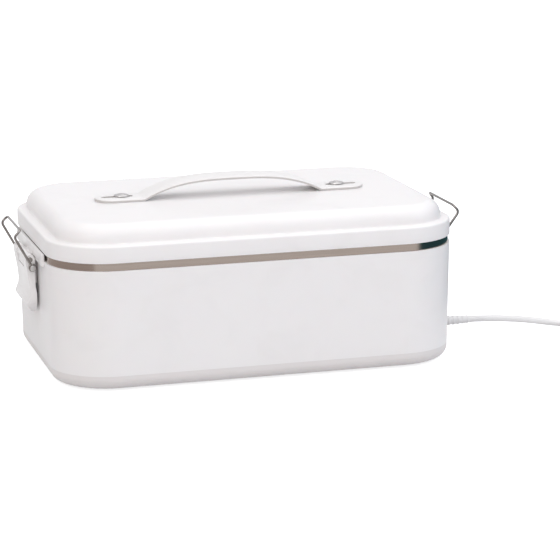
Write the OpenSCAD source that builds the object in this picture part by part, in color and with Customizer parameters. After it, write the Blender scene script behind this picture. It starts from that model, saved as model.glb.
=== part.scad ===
// Electric lunch box: a drafted plastic housing with a heater, a lift-out steel container,
// a lift-off lid with a strap handle, and a draw latch on each short end.
// Millimetres. +X runs along the box, +Z up; the origin is at the middle of the feet's plane.

/* [Body] */
// Length of the housing at its top edge
body_l = 240; // [220:5:280]
// Width of the housing at its top edge
body_w = 160; // [140:5:190]
// Corner radius of the housing, seen from above
corner_r = 35; // [32:1:42]
// Height of the outer shell, from the seam to the steel band
shell_h = 60.6; // [56:1:75]
// Height of the base cap, from its underside to the seam
cap_h = 8.3; // [8:0.5:11]
// Rounding of the base cap's lower edge
cap_round = 6.5; // [4:0.5:7.5]
// Narrowing of each side from the top edge to the underside
draft = 1.2; // [0.6:0.1:2]
// Thickness of the housing walls
wall = 2.4; // [2:0.1:2.8]
// How far the rubber feet stand out
foot_h = 1.2; // [0.8:0.1:3]
// Diameter of a foot
foot_d = 14; // [10:1:16]

/* [Steel container] */
// Height of the visible steel band, the container's turned-down rim
band_h = 4.4; // [3.5:0.1:6]
// How far the band lies behind the housing's face
band_inset = 1; // [0.6:0.1:1.2]
// Sheet thickness of the container
steel_t = 0.7; // [0.5:0.1:0.8]
// Depth of the container below its rim
container_depth = 48.5; // [44:0.5:50]
// Rounding between the container's wall and floor
container_round = 9; // [5:1:12]

/* [Lid] */
// Height of the lid's outer flange
flange_h = 9.8; // [9:0.1:13]
// Width of the ledge on top of the flange
ledge_w = 4.8; // [4.4:0.1:5.2]
// Height of the lid's dome above the ledge
dome_h = 10.7; // [10:0.1:14]
// Rounding of the dome's upper edge
dome_round = 8.6; // [7:0.1:9]
// Thickness of the lid's wall
lid_t = 2.2; // [1.8:0.1:2.4]

/* [Handle] */
// Length of the strap from tip to tip
strap_l = 164; // [160:2:176]
// Width of the strap
strap_w = 20; // [18:1:24]
// Thickness of the strap
strap_t = 2; // [1.6:0.1:2.6]
// Distance of each rivet from the strap's tip
rivet_in = 16; // [15:0.5:17]
// Width of the arch between the strap's flat ends
arch_span = 108; // [104:1:110]
// Height of the arch's underside above the lid
arch_h = 9.9; // [8:0.1:14]
// Diameter of a rivet's shank
rivet_d = 3.6; // [3:0.1:3.8]
// Diameter of a rivet's head
rivet_head_d = 9; // [8:0.5:11]
// How far a strap end slides inwards when the handle is lifted
strap_slide = 8; // [4:0.5:8.5]

/* [Latches] */
// Width of a latch lever
lever_w = 42; // [40:1:48]
// Diameter of the bail wire
bail_wire = 1.5; // [1.4:0.1:1.8]
// Distance of a lever's hinge from the end face
hinge_out = 4.6; // [4.6:0.1:5.2]
// Diameter of the hinge pin
hinge_pin_d = 2.9; // [2.4:0.1:3]
// Diameter of the pins that carry the bail
bail_pin_d = 2.2; // [2:0.1:2.3]

/* [Heater] */
// Length of the aluminium heating plate
plate_l = 150; // [120:5:160]
// Width of the aluminium heating plate
plate_w = 92; // [80:2:98]
// Thickness of the flange of the heating plate
plate_t = 1.8; // [1.5:0.1:2.2]
// Length of the heating element
element_l = 62; // [50:1:64]
// Width of the heating element
element_w = 34; // [28:1:38]
// Thickness of the heating element
element_t = 4.5; // [3.5:0.1:5]

/* [Lead] */
// Distance of the socket from the middle, towards the front
socket_y = 12; // [8:1:16]
// Diameter of the lead
cord_d = 4; // [3.5:0.5:4]
// Turns in the stored coil
coil_turns = 7; // [3:1:7]
// Pitch between turns and between layers of the coil
coil_pitch = 4.5; // [4.45:0.05:5]

/* [Fits] */
// Gap around loosely fitted plastic pieces
loose = 0.3; // [0.2:0.05:0.4]
// Gap around a pin in its bore
running = 0.05; // [0.03:0.01:0.08]

/* [Hidden] */
$fn = 48;

// Colours
pearl = [0.93, 0.92, 0.92];
warm_white = [0.89, 0.87, 0.85];
steel = [0.70, 0.69, 0.68];
alloy = [0.80, 0.80, 0.81];
clear_white = [0.90, 0.92, 0.93];
charcoal = [0.16, 0.16, 0.17];

// Levels, upwards from the table
cap_top = foot_h + cap_h;
shell_top = cap_top + shell_h;
rim_top = shell_top + band_h;
flange_top = rim_top + flange_h;
lid_top = flange_top + dome_h;
container_floor = rim_top - container_depth;
arc_steps = 7;

// Half sizes of the rectangle that joins the corners' centres
half_x = body_l / 2 - corner_r;
half_y = body_w / 2 - corner_r;
end_x = body_l / 2;

// Radius of the housing's corner at a height z, measured from the corner's centre
function side_r(z) = corner_r - draft * (shell_top - z) / (shell_top - foot_h);
// Points along an arc in a profile
function arc(cx, cz, r, a0, a1, steps = arc_steps) =
  [for (i = [0:steps]) let (a = a0 + (a1 - a0) * i / steps) [cx + r * cos(a), cz + r * sin(a)]];

// Sweeps a profile round the housing: its x is the distance from the corner's centre, its y the height
module around() {
  for (q = [[1, 1, 0], [-1, 1, 90], [-1, -1, 180], [1, -1, 270]])
    translate([q[0] * half_x, q[1] * half_y, 0])
      rotate([0, 0, q[2]]) rotate_extrude(angle = 90) children();
  for (s = [0, 180]) rotate([0, 0, s]) {
    translate([half_x, half_y, 0])
      rotate([90, 0, 0]) linear_extrude(height = 2 * half_y) children();
    translate([-half_x, half_y, 0])
      rotate([90, 0, 90]) linear_extrude(height = 2 * half_x) children();
  }
}

// Sweeps a profile that reaches the corner's centre, and fills the middle between two heights
module around_filled(z0, z1) {
  around() children();
  translate([-half_x, -half_y, z0]) cube([2 * half_x, 2 * half_y, z1 - z0]);
}

// A block given by its two opposite corners
module block(a, b) {
  translate(a) cube(b - a);
}

// A profile drawn in x and z, extruded along y between two places
module across(y0, y1) {
  translate([0, y1, 0]) rotate([90, 0, 0]) linear_extrude(height = y1 - y0) children();
}

// A round bar along y
module bar_y(x, z, d, y0, y1) {
  translate([x, y0, z]) rotate([-90, 0, 0]) cylinder(d = d, h = y1 - y0);
}

// A round bar along x
module bar_x(y, z, d, x0, x1) {
  translate([x0, y, z]) rotate([0, 90, 0]) cylinder(d = d, h = x1 - x0);
}

// ---- Lead: its route, and a tube swept along points -------------------------------------------

function unit(v) = v / norm(v);
function along(p, i) =
  i == 0 ? unit(p[1] - p[0]) :
  i == len(p) - 1 ? unit(p[i] - p[i - 1]) : unit(p[i + 1] - p[i - 1]);

// The first ring's side direction, carried along the path without twist
function carried(side, t) = unit(side - (side * t) * t);

// A tube of round rings square to its path
module tube(p, d, sides = 8) {
  r = d / 2;
  n = len(p);
  begin = along(p, 0);
  side = [
    for (i = 0, s = carried(abs(begin[2]) > 0.8 ? [1, 0, 0] : [0, 0, 1], begin);
         i < n; i = i + 1, s = i < n ? carried(s, along(p, i)) : s) s
  ];
  rings = [
    for (i = [0:n - 1]) let (up = cross(side[i], along(p, i)))
      for (k = [0:sides - 1])
        let (a = 360 * (k + 0.5) / sides) p[i] + r * (cos(a) * side[i] + sin(a) * up)
  ];
  walls = [
    for (i = [0:n - 2], k = [0:sides - 1])
      let (a = i * sides + k, b = i * sides + (k + 1) % sides)
        each [[a, b, b + sides], [a, b + sides, a + sides]]
  ];
  first = [for (k = [1:sides - 2]) [0, k + 1, k]];
  last_ring = (n - 1) * sides;
  last = [for (k = [1:sides - 2]) [last_ring, last_ring + k, last_ring + k + 1]];
  polyhedron(points = rings, faces = concat(walls, first, last));
}

socket_z = 10;
connector_out = 7;
relief_l = 20;
cord_z = cord_d / 2;
// The coil lies on its tie
tie_t = 0.8;
coil_z = cord_z + tie_t;
cord_start_x = end_x + connector_out + relief_l;
coil_x = 242;
coil_r = 31.8;
coil_y = -socket_y - coil_r;
tail_end = [275, 24, 6.85];

// The lead leaves the relief level, droops to the table and runs into the coil
cord_route = [
  [cord_start_x, -socket_y, socket_z], [152, -socket_y, 9.9], [158, -socket_y, 9.6],
  [164, -socket_y, 9.2], [170, -socket_y, 8.7], [176, -socket_y, 8], [182, -socket_y, 7.2],
  [188, -socket_y, 6.3], [194, -socket_y, 5.2], [200, -socket_y, 4.1], [206, -socket_y, 3.1],
  [212, -socket_y, 2.3], [219, -socket_y, cord_z], [226, -socket_y, cord_z],
  [232, -socket_y, cord_z + 0.4], [coil_x - cord_d, -socket_y, coil_z]
];
// From the top of the coil, round to the plug
tail_route = [
  [coil_x + cord_d, -socket_y, coil_z + coil_pitch], [252, -11.6, 7.3], [258, -9.8, 6.9],
  [263.5, -6.6, 6.4], [268.5, -2, 6], [272.2, 4, 5.9], [274.3, 11, 6.3],
  [275, 18, 6.75], tail_end
];
// The coil: inwards on the table, up a layer in the half turn in the middle, outwards on top
coil_rings = 20;
function coil_point(t) =
  let (
    half = coil_turns / 2,
    r = coil_r - coil_pitch * (t < half ? t : coil_turns - t),
    climb = min(1, max(0, (t - half + 0.25) / 0.5)),
    a = 90 - 360 * t
  ) [coil_x + r * cos(a), coil_y + r * sin(a), coil_z + coil_pitch * (3 - 2 * climb) * climb * climb];
coil_steps = coil_rings * coil_turns;
coil_route = concat(
  [[coil_x - cord_d, -socket_y, coil_z]],
  [for (i = [0:coil_steps]) coil_point(i / coil_rings)],
  [[coil_x + cord_d, -socket_y, coil_z + coil_pitch]]
);
// Least gap between turns, measured on points at least half a turn apart
coil_gap = min([
  for (i = [0:coil_steps - coil_rings / 2], j = [i + coil_rings / 2:coil_steps])
    norm(coil_route[i] - coil_route[j])
]) - cord_d;
function path_length(p, i = 0) = i >= len(p) - 1 ? 0 : norm(p[i + 1] - p[i]) + path_length(p, i + 1);
echo(coil_gap = coil_gap);
echo(lead_length = path_length(cord_route) + path_length(coil_route) + path_length(tail_route));

// ---- Housing ----------------------------------------------------------------------------------

lip_out = corner_r - band_inset - steel_t - loose;
lip_step = lip_out - 1;
lip_in = lip_out - 2.7;
lip_top = rim_top - steel_t - 0.5;
socket_w = 22;
socket_hh = 9;
socket_lip = 1.6;
boss_x = half_x + 8;
boss_y = half_y + 8;
boss_d = 8;
boss_h = 12;
// How far the base cap's rim reaches up inside the shell
spigot_h = 3;
base_screw_d = 3;
clasp_pad_t = 2.6;
clasp_screw_d = 2.6;
clasp_screw_y = 12;
clasp_screw_z = shell_top - 14;

// Opening for the inlet socket, with a wider pocket behind the wall for the socket's flange
module socket_cut() {
  block([end_x - 16, -socket_y - socket_w / 2, socket_z - socket_hh / 2],
        [end_x + 1, -socket_y + socket_w / 2, socket_z + socket_hh / 2]);
  block([end_x - 16, -socket_y - socket_w / 2 - socket_lip - 0.2, socket_z - socket_hh / 2],
        [end_x - 3.7, -socket_y + socket_w / 2 + socket_lip + 0.2, socket_z + socket_hh / 2]);
}

module clasp_holes(d, x0, x1) {
  for (s = [-1, 1], y = [-clasp_screw_y, clasp_screw_y])
    bar_x(y, clasp_screw_z, d, s > 0 ? x0 : -x1, s > 0 ? x1 : -x0);
}

module outer_shell() {
  inner_z = shell_top - 4;
  color(pearl) difference() {
    union() {
      around() polygon([
        [side_r(cap_top), cap_top], [corner_r, shell_top], [lip_out, shell_top],
        [lip_out, lip_top], [lip_step, lip_top], [lip_step, shell_top], [lip_in, shell_top],
        [lip_in, shell_top - 1.4], [side_r(inner_z) - wall, inner_z], [side_r(cap_top) - wall, cap_top]
      ]);
      // Screw bosses, tied to the corner walls
      for (sx = [-1, 1], sy = [-1, 1]) {
        translate([sx * boss_x, sy * boss_y, cap_top]) cylinder(d = boss_d, h = boss_h);
        translate([sx * boss_x, sy * boss_y, cap_top])
          rotate([0, 0, atan2(sy, sx)]) block([0, -1, spigot_h + 0.4],
            [side_r(cap_top) - wall - (boss_x - half_x) * sqrt(2) + 0.8, 1, boss_h]);
      }
      // Pads behind the latch screws
      for (s = [-1, 1], y = [-clasp_screw_y, clasp_screw_y])
        translate([s * (end_x - wall - clasp_pad_t / 2), y, clasp_screw_z])
          cube([clasp_pad_t + 1.2, 8, 8], center = true);
    }
    for (sx = [-1, 1], sy = [-1, 1])
      translate([sx * boss_x, sy * boss_y, cap_top - 1]) cylinder(d = base_screw_d + 2 * running, h = boss_h - 1);
    clasp_holes(clasp_screw_d + 2 * running, end_x - 8, end_x + 1);
    socket_cut();
  }
}

foot_set = 1;
foot_x = half_x - 4;
foot_y = half_y - 2;

module base_cap() {
  rim = side_r(cap_top);
  low = side_r(foot_h + cap_round);
  spigot = rim - wall - 0.15;
  color(warm_white) difference() {
    union() {
      around_filled(foot_h, foot_h + wall) polygon(concat(
        [[0, foot_h]],
        arc(low - cap_round, foot_h + cap_round, cap_round, -90, 0),
        [[rim, cap_top], [spigot, cap_top], [spigot, cap_top + spigot_h], [spigot - 1.6, cap_top + spigot_h]],
        [for (p = arc(low - cap_round, foot_h + cap_round, cap_round - wall, 0, -90)) [min(p[0], spigot - 1.6), p[1]]],
        [[0, foot_h + wall]]
      ));
      // Pillars that the corner screws pass through
      for (sx = [-1, 1], sy = [-1, 1])
        translate([sx * boss_x, sy * boss_y, foot_h + 1]) cylinder(d = boss_d, h = cap_h - 1);
    }
    for (sx = [-1, 1], sy = [-1, 1]) {
      translate([sx * boss_x, sy * boss_y, foot_h - 1]) cylinder(d = base_screw_d + 2 * loose, h = cap_h + 2);
      translate([sx * boss_x, sy * boss_y, foot_h - 1]) cylinder(d = 6.4, h = 4);
      translate([sx * foot_x, sy * foot_y, foot_h - 1]) cylinder(d = foot_d + 2 * running, h = 1 + foot_set);
    }
    socket_cut();
  }
}

module rubber_feet() {
  color(charcoal) for (sx = [-1, 1], sy = [-1, 1])
    translate([sx * foot_x, sy * foot_y, 0]) {
      cylinder(d = foot_d, h = foot_h + foot_set);
    }
}

module base_screws() {
  color(steel) for (sx = [-1, 1], sy = [-1, 1])
    translate([sx * boss_x, sy * boss_y, foot_h + 1]) difference() {
      union() {
        cylinder(d = 5.8, h = 2);
        cylinder(d = base_screw_d, h = boss_h + 5);
      }
      translate([-2, -0.4, -1]) cube([4, 0.8, 1.8]);
      translate([-0.4, -2, -1]) cube([0.8, 4, 1.8]);
    }
}

// ---- Heater -----------------------------------------------------------------------------------

well_t = 1.5;
well_rim = lip_step - loose;
well_out = lip_in - 1.2;
well_in = well_out - well_t;
well_floor = container_floor - 2.0;
plate_boss = 8;
plate_under = well_floor - well_t - plate_t;
element_under = plate_under - element_t;
pad_t = 0.8;
clamp_t = 1;
clamp_screw_x = element_l / 2 + 9;

module heating_well() {
  color(pearl) difference() {
    around_filled(well_floor - well_t, well_floor) polygon(concat(
      [[0, well_floor - well_t], [well_out - 8, well_floor - well_t]],
      arc(well_out - 8, well_floor - well_t + 8, 8, -70, 0, 5),
      [[well_out, shell_top], [well_rim, shell_top], [well_rim, shell_top + 1.5], [well_in, shell_top + 1.5]],
      arc(well_out - 8, well_floor - well_t + 8, 8 - well_t, 0, -70, 5),
      [[well_out - 8, well_floor], [0, well_floor]]
    ));
    // Window for the raised middle of the heating plate
    block([-plate_l / 2 + plate_boss - loose, -plate_w / 2 + plate_boss - loose, well_floor - 3],
          [plate_l / 2 - plate_boss + loose, plate_w / 2 - plate_boss + loose, well_floor + 1]);
  }
}

module heat_plate() {
  color(alloy) difference() {
    union() {
      block([-plate_l / 2, -plate_w / 2, plate_under], [plate_l / 2, plate_w / 2, plate_under + plate_t]);
      block([-plate_l / 2 + plate_boss, -plate_w / 2 + plate_boss, plate_under],
            [plate_l / 2 - plate_boss, plate_w / 2 - plate_boss, container_floor]);
    }
    for (s = [-1, 1]) translate([s * clamp_screw_x, 0, plate_under - 1]) cylinder(d = 2.6, h = 4);
  }
}

module ptc_heater() {
  color(alloy) block([-element_l / 2, -element_w / 2, element_under], [element_l / 2, element_w / 2, plate_under]);
}

module insulation_pad() {
  color([0.85, 0.80, 0.68])
    block([-element_l / 2, -element_w / 2, element_under - pad_t], [element_l / 2, element_w / 2, element_under]);
}

module heater_clamp() {
  low = element_under - pad_t - clamp_t;
  leg = element_l / 2 + 1;
  color(steel) difference() {
    union() {
      block([-leg - clamp_t, -7, low], [leg + clamp_t, 7, low + clamp_t]);
      for (s = [0, 180]) rotate([0, 0, s]) {
        block([leg, -7, low], [leg + clamp_t, 7, plate_under]);
        block([leg, -7, plate_under - clamp_t], [clamp_screw_x + 6, 7, plate_under]);
      }
    }
    for (s = [-1, 1]) translate([s * clamp_screw_x, 0, plate_under - 3]) cylinder(d = 3, h = 5);
  }
}

module clamp_screws() {
  color(steel) for (s = [-1, 1]) translate([s * clamp_screw_x, 0, plate_under - clamp_t - 1.8]) {
    cylinder(d = 5, h = 1.8);
    cylinder(d = 2.5, h = 1.8 + clamp_t + 2.5);
  }
}

module thermostat() {
  color(charcoal) translate([0, element_w / 2 + 13, plate_under - 6]) {
    cylinder(d = 16, h = 6);
    for (s = [-1, 1]) translate([s * 4 - 1.5, -0.4, -4]) cube([3, 0.8, 5]);
  }
}

module thermal_fuse() {
  color(alloy) {
    bar_x(-element_w / 2 - 10, plate_under - 2.05, 4, -8, 8);
    for (s = [-1, 1])
      bar_x(-element_w / 2 - 10, plate_under - 2.05, 1, s > 0 ? 7 : -14, s > 0 ? 14 : -7);
  }
}

// Wires: from the inlet to the thermostat, to the fuse, and from both to the heating element
module wiring() {
  t_y = element_w / 2 + 13;
  f_y = -element_w / 2 - 10;
  wire = 1.8;
  pin_x = end_x - 15.3;
  color([0.75, 0.25, 0.20]) tube([
    [pin_x, -socket_y + 4, socket_z], [pin_x - 7, -socket_y + 5, 8.8], [pin_x - 19, -2, 8],
    [pin_x * 0.6, 12, 7.6], [pin_x * 0.42, 24, 7.6], [24, t_y, 8], [10, t_y, 8.6], [4, t_y, plate_under - 11.2], [4, t_y, plate_under - 10.05]], wire, 6);
  color([0.25, 0.35, 0.60]) tube([
    [pin_x, -socket_y - 4, socket_z], [pin_x - 7, -socket_y - 6, 9], [pin_x * 0.8, -24, 9],
    [pin_x * 0.6, -27, 10], [pin_x * 0.38, f_y, 12], [24, f_y, plate_under - 3.5], [17, f_y, plate_under - 2.05], [14.05, f_y, plate_under - 2.05]], wire, 6);
  color([0.75, 0.25, 0.20]) tube([
    [-4, t_y, plate_under - 10.05], [-4, t_y, plate_under - 11.4], [-10, t_y - 3, 8], [-22, 24, 8], [-30, 16, 9],
    [-31, 13, element_under - pad_t - 3], [-29, 11, element_under - pad_t - 1.0]], wire, 6);
  color([0.25, 0.35, 0.60]) tube([
    [-14.05, f_y, plate_under - 2.05], [-19, f_y, plate_under - 2.3], [-25, f_y + 2, plate_under - 5],
    [-29, -20, 11], [-30, -15, 10], [-29, -11, element_under - pad_t - 1.0]], wire, 6);
}

module inlet_socket() {
  h = socket_hh - 2 * running;
  w = socket_w - 2 * running;
  color(charcoal) difference() {
    union() {
      block([end_x - 15, -socket_y - w / 2, socket_z - h / 2], [end_x + 0.4, -socket_y + w / 2, socket_z + h / 2]);
      block([end_x - 5, -socket_y - w / 2 - socket_lip, socket_z - h / 2],
            [end_x - 3.8, -socket_y + w / 2 + socket_lip, socket_z + h / 2]);
    }
    block([end_x - 11, -socket_y - w / 2 + 1.4, socket_z - h / 2 + 1], [end_x + 2, -socket_y + w / 2 - 1.4, socket_z + h / 2 - 1]);
    for (s = [-1, 1]) bar_x(-socket_y + s * 4, socket_z, 2.4, end_x - 16, end_x - 10);
  }
}

module inlet_pins() {
  color(steel) for (s = [-1, 1]) bar_x(-socket_y + s * 4, socket_z, 2.3, end_x - 15, end_x - 2);
}

// ---- Latches: drawn at the left end, mirrored to the right ------------------------------------

hinge_z = shell_top - 3.1;
bail_pin_out = 3.6;
bail_pin_z = hinge_z - 4.4;
knuckle_w = 19.4;
knuckle_gap = 0.5;
bracket_w = 31;
// Width of the bracket's upper strip, and how far its knuckle stands out
strip_w = 84;
knuckle_face = 6.6;
bracket_t = 1.6;
bracket_low = clasp_screw_z - 4;
eye_y = lever_w / 2 + 0.5;
eye_t = 2.3;
leg_y = eye_y + eye_t / 2;
// Bending radius of the wire, at its middle
bail_bend = 2.6;
// The bail hooks over the ledge when it stands this far in from the end face
catch_in = 1.7;
catch_z = flange_top + bail_wire / 2 + 0.15;
bail_reach = norm([catch_in + bail_pin_out, catch_z - bail_pin_z]);
bail_lean = 16;
right_lean = 8;
bar_out = bail_pin_out + bail_reach * sin(bail_lean);
bar_z = bail_pin_z + bail_reach * cos(bail_lean);
bend_out = bar_out + 3.7;
bend_z = bar_z - 3.5;
latched_turn = bail_lean + asin((catch_in + bail_pin_out) / bail_reach);
echo(latched_turn = latched_turn);

module bracket() {
  difference() {
    union() {
      block([-end_x - bracket_t, -bracket_w / 2, bracket_low], [-end_x, bracket_w / 2, shell_top]);
      // The strip along the top hides the steel band between the corners
      block([-end_x - bracket_t, -strip_w / 2, shell_top - 3], [-end_x, strip_w / 2, rim_top - 0.4]);
      bar_y(-end_x - hinge_out, hinge_z, 5.2, -knuckle_w / 2, knuckle_w / 2);
      block([-end_x - hinge_out, -knuckle_w / 2, hinge_z - 1.8], [-end_x - 1, knuckle_w / 2, hinge_z + 1.8]);
      // It fills the notch in the lever below the hinge
      block([-end_x - knuckle_face, -knuckle_w / 2, hinge_z - 5.2], [-end_x - 1, knuckle_w / 2, hinge_z - 1.4]);
    }
    bar_y(-end_x - hinge_out, hinge_z, hinge_pin_d + 2 * running, -knuckle_w, knuckle_w);
    for (y = [-clasp_screw_y, clasp_screw_y]) {
      bar_x(y, clasp_screw_z, clasp_screw_d + 2 * running, -end_x - 3, -end_x + 1);
      bar_x(y, clasp_screw_z, 5.2, -end_x - 3, -end_x - 0.6);
    }
  }
}

module left_bracket() { color(pearl) bracket(); }
module right_bracket() { color(pearl) mirror([1, 0, 0]) bracket(); }

module bracket_screws() {
  color(steel) for (s = [0, 1], y = [-clasp_screw_y, clasp_screw_y]) mirror([s, 0, 0]) {
    bar_x(y, clasp_screw_z, 5, -end_x - bracket_t + 0.05, -end_x - 0.6);
    bar_x(y, clasp_screw_z, clasp_screw_d, -end_x - 0.7, -end_x + wall + clasp_pad_t + 0.4);
  }
}

module hinge_pin() {
  bar_y(-end_x - hinge_out, hinge_z, hinge_pin_d, -lever_w / 2 + 0.5, lever_w / 2 - 0.5);
}

module left_hinge_pin() { color(steel) hinge_pin(); }
module right_hinge_pin() { color(steel) mirror([1, 0, 0]) hinge_pin(); }

// Length of a lever below its hinge, and rounding of its lower corners
lever_l = 32.4;
lever_round = 10;
// Side view of a lever: distance out from the end face, and drop below the hinge
lever_front = [
  [7.3, 0.4], [6.9, 4], [6.2, 8], [5.4, 13], [4.9, 18.5], [5.2, 21.5], [6.2, 24], [7.2, 25.8],
  [6.9, 27.4], [5.6, 29.3], [4, 31.4], [3, lever_l]
];
lever_back = [[1.8, lever_l], [1.3, 30], [1.2, 20], [1.9, 15.6], [1.9, 0.6]];

// A lever's outline from the end, with round lower corners
module lever_outline() {
  low = hinge_z - lever_l;
  side = lever_w / 2 - lever_round;
  block([-end_x - 9, -lever_w / 2, low + lever_round], [-end_x, lever_w / 2, hinge_z]);
  block([-end_x - 9, -side, low - 1], [-end_x, side, low + lever_round + 1]);
  for (y = [-side, side]) bar_x(y, low + lever_round, 2 * lever_round, -end_x - 9, -end_x);
}

module lever() {
  difference() {
    union() {
      intersection() {
        across(-lever_w / 2, lever_w / 2)
          polygon([for (p = concat(lever_front, lever_back)) [-end_x - p[0], hinge_z - p[1]]]);
        lever_outline();
      }
      bar_y(-end_x - hinge_out, hinge_z, 5.6, -lever_w / 2, lever_w / 2);
    }
    // Room for the bracket's knuckle
    block([-end_x - 12, -knuckle_w / 2 - knuckle_gap, hinge_z - 6], [-end_x, knuckle_w / 2 + knuckle_gap, hinge_z + 5]);
    bar_y(-end_x - hinge_out, hinge_z, hinge_pin_d + 2 * running, -lever_w, lever_w);
    bar_y(-end_x - bail_pin_out, bail_pin_z, bail_pin_d + 2 * running, -lever_w, lever_w);
  }
}

module left_lever() { color(pearl) lever(); }
module right_lever() { color(pearl) mirror([1, 0, 0]) lever(); }

module bail_pins() {
  for (s = [0, 1]) mirror([0, s, 0]) {
    bar_y(-end_x - bail_pin_out, bail_pin_z, bail_pin_d, lever_w / 2 - 9, eye_y + eye_t + 0.1);
    bar_y(-end_x - bail_pin_out, bail_pin_z, bail_pin_d + 1.2, eye_y + eye_t + 0.1, eye_y + eye_t + 0.9);
  }
}

module left_bail_pins() { color(steel) bail_pins(); }
module right_bail_pins() { color(steel) mirror([1, 0, 0]) bail_pins(); }

// Points of a bend from a corner: in along u, out along v, with the wire's bending radius
function bend_points(corner, u, v, steps = 5) =
  let (
    turn = acos(u * v),
    reach = bail_bend * tan(turn / 2),
    start = corner - u * reach,
    inward = unit(v - (u * v) * u)
  ) [for (i = [0:steps]) let (a = turn * i / steps) start + bail_bend * (sin(a) * u + (1 - cos(a)) * inward)];

module bail() {
  pin = [-end_x - bail_pin_out, leg_y, bail_pin_z];
  bend = [-end_x - bend_out, leg_y, bend_z];
  bar = [-end_x - bar_out, leg_y, bar_z];
  leg_dir = unit(bend - pin);
  nose_dir = unit(bar - bend);
  half = concat(
    [pin + 1.5 * leg_dir], bend_points(bend, leg_dir, nose_dir), bend_points(bar, nose_dir, [0, -1, 0])
  );
  other = [for (i = [len(half) - 1:-1:0]) [half[i][0], -half[i][1], half[i][2]]];
  tube(concat(half, other), bail_wire, 12);
  // An eye round the pin on each side
  for (s = [0, 1]) mirror([0, s, 0]) difference() {
    bar_y(pin[0], pin[2], 4.6, eye_y, eye_y + eye_t);
    bar_y(pin[0], pin[2], bail_pin_d + 2 * running, eye_y - 1, eye_y + eye_t + 1);
  }
}

module left_bail() { color(steel) bail(); }
// The right bail hangs further out than the left one
module right_bail() {
  color(steel) mirror([1, 0, 0]) translate([-end_x - bail_pin_out, 0, bail_pin_z]) rotate([0, -right_lean, 0])
    translate([end_x + bail_pin_out, 0, -bail_pin_z]) bail();
}

// ---- Container and its own lid ----------------------------------------------------------------

band_out = corner_r - band_inset;
// The container's sides stand clear of the well
container_gap = 1.6;
container_out = well_in - container_gap;
container_in = container_out - steel_t;

module food_container() {
  c = container_out - container_round;
  color(steel) around_filled(container_floor, container_floor + steel_t) polygon(concat(
    [[0, container_floor]],
    arc(c, container_floor + container_round, container_round, -90, 0),
    [[container_out, rim_top - steel_t], [band_out - steel_t, rim_top - steel_t],
     [band_out - steel_t, shell_top], [band_out, shell_top], [band_out, rim_top], [container_in, rim_top]],
    arc(c, container_floor + container_round, container_round - steel_t, 0, -90),
    [[0, container_floor + steel_t]]
  ));
}

// A fixed partition across the container, with its foot flange
module divider() {
  top = rim_top - 10;
  x = 28;
  edge = half_y + container_in - 0.05;
  base = container_floor + steel_t;
  color(steel) {
    difference() {
      block([x, -edge, base], [x + 0.8, edge, top]);
      // Lower corners follow the container's rounded floor
      for (s = [0, 1]) mirror([0, s, 0])
        block([x - 1, edge - container_round + steel_t, base - 1], [x + 2, edge + 1, base + container_round - steel_t]);
    }
    block([x + 0.7, -edge + container_round, base], [x + 8, edge - container_round, base + 0.8]);
  }
}

inner_lid_wall = container_in - 0.7;
seal_z = rim_top - 3.4;
plug_d = 8;
plug_x = -70;

module inner_lid() {
  t = 1.6;
  panel = rim_top - 4.4;
  color(clear_white) difference() {
    around_filled(panel, panel + t) polygon([
      [0, panel], [inner_lid_wall, panel], [inner_lid_wall, seal_z], [inner_lid_wall - 0.8, seal_z],
      [inner_lid_wall - 0.8, seal_z + 2], [inner_lid_wall, seal_z + 2], [inner_lid_wall, rim_top],
      [container_in + 3.5, rim_top], [container_in + 3.5, rim_top + 1.4], [inner_lid_wall - 2.4, rim_top + 1.4],
      [inner_lid_wall - 2.4, panel + t], [0, panel + t]
    ]);
    translate([plug_x, 0, panel - 1]) cylinder(d = plug_d + 2 * running, h = t + 2);
  }
}

module inner_lid_seal() {
  color(warm_white) around() polygon([
    [inner_lid_wall - 0.8, seal_z], [container_in - 0.05, seal_z + 0.4],
    [container_in - 0.05, seal_z + 1.6], [inner_lid_wall - 0.8, seal_z + 2]
  ]);
}

module vent_plug() {
  panel_top = rim_top - 2.8;
  color(warm_white) translate([plug_x, 0, 0]) {
    translate([0, 0, panel_top - 5]) cylinder(d = plug_d, h = 6);
    translate([0, 0, panel_top]) cylinder(d = 14, h = 2);
    translate([6, -3, panel_top]) cube([7, 6, 1.2]);
  }
}

// ---- Lid --------------------------------------------------------------------------------------

tip_x = strap_l / 2;
rivet_x = tip_x - rivet_in;
flange_out = corner_r + 0.1;
flange_round = 1.3;
dome_foot = flange_out - ledge_w;
dome_fillet = 1;
liner_z = rim_top + 4.6;
gasket_out = lid_t + 0.9;

module lid_shell() {
  c = dome_foot - dome_fillet - dome_round;
  inner = flange_out - lid_t;
  color(pearl) difference() {
    around_filled(lid_top - lid_t, lid_top) polygon(concat(
      [[inner, rim_top], [flange_out, rim_top]],
      arc(flange_out - flange_round, flange_top - flange_round, flange_round, 0, 90, 4),
      arc(dome_foot, flange_top + dome_fillet, dome_fillet, 270, 180, 3),
      arc(c, lid_top - dome_round, dome_round, 0, 90),
      [[0, lid_top], [0, lid_top - lid_t]],
      arc(c, lid_top - dome_round, dome_round - lid_t, 90, 0),
      [[c + dome_round - lid_t, flange_top - lid_t], [inner, flange_top - lid_t]]
    ));
    for (s = [-1, 1]) translate([s * rivet_x, 0, lid_top - lid_t - 1])
      cylinder(d = rivet_d + 2 * running, h = lid_t + 2);
  }
}

module lid_liner() {
  edge = flange_out - lid_t - 0.15;
  color(pearl) around_filled(liner_z, liner_z + 1.5) polygon([
    [0, liner_z], [edge - 3.2, liner_z], [edge - 3.2, liner_z - 1.6], [edge - 2.5, liner_z - 1.6],
    [edge - 2.5, liner_z], [edge - 0.8, liner_z], [edge - 0.8, liner_z - 3], [edge, liner_z - 3],
    [edge, liner_z + 1.5], [0, liner_z + 1.5]
  ]);
}

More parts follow.
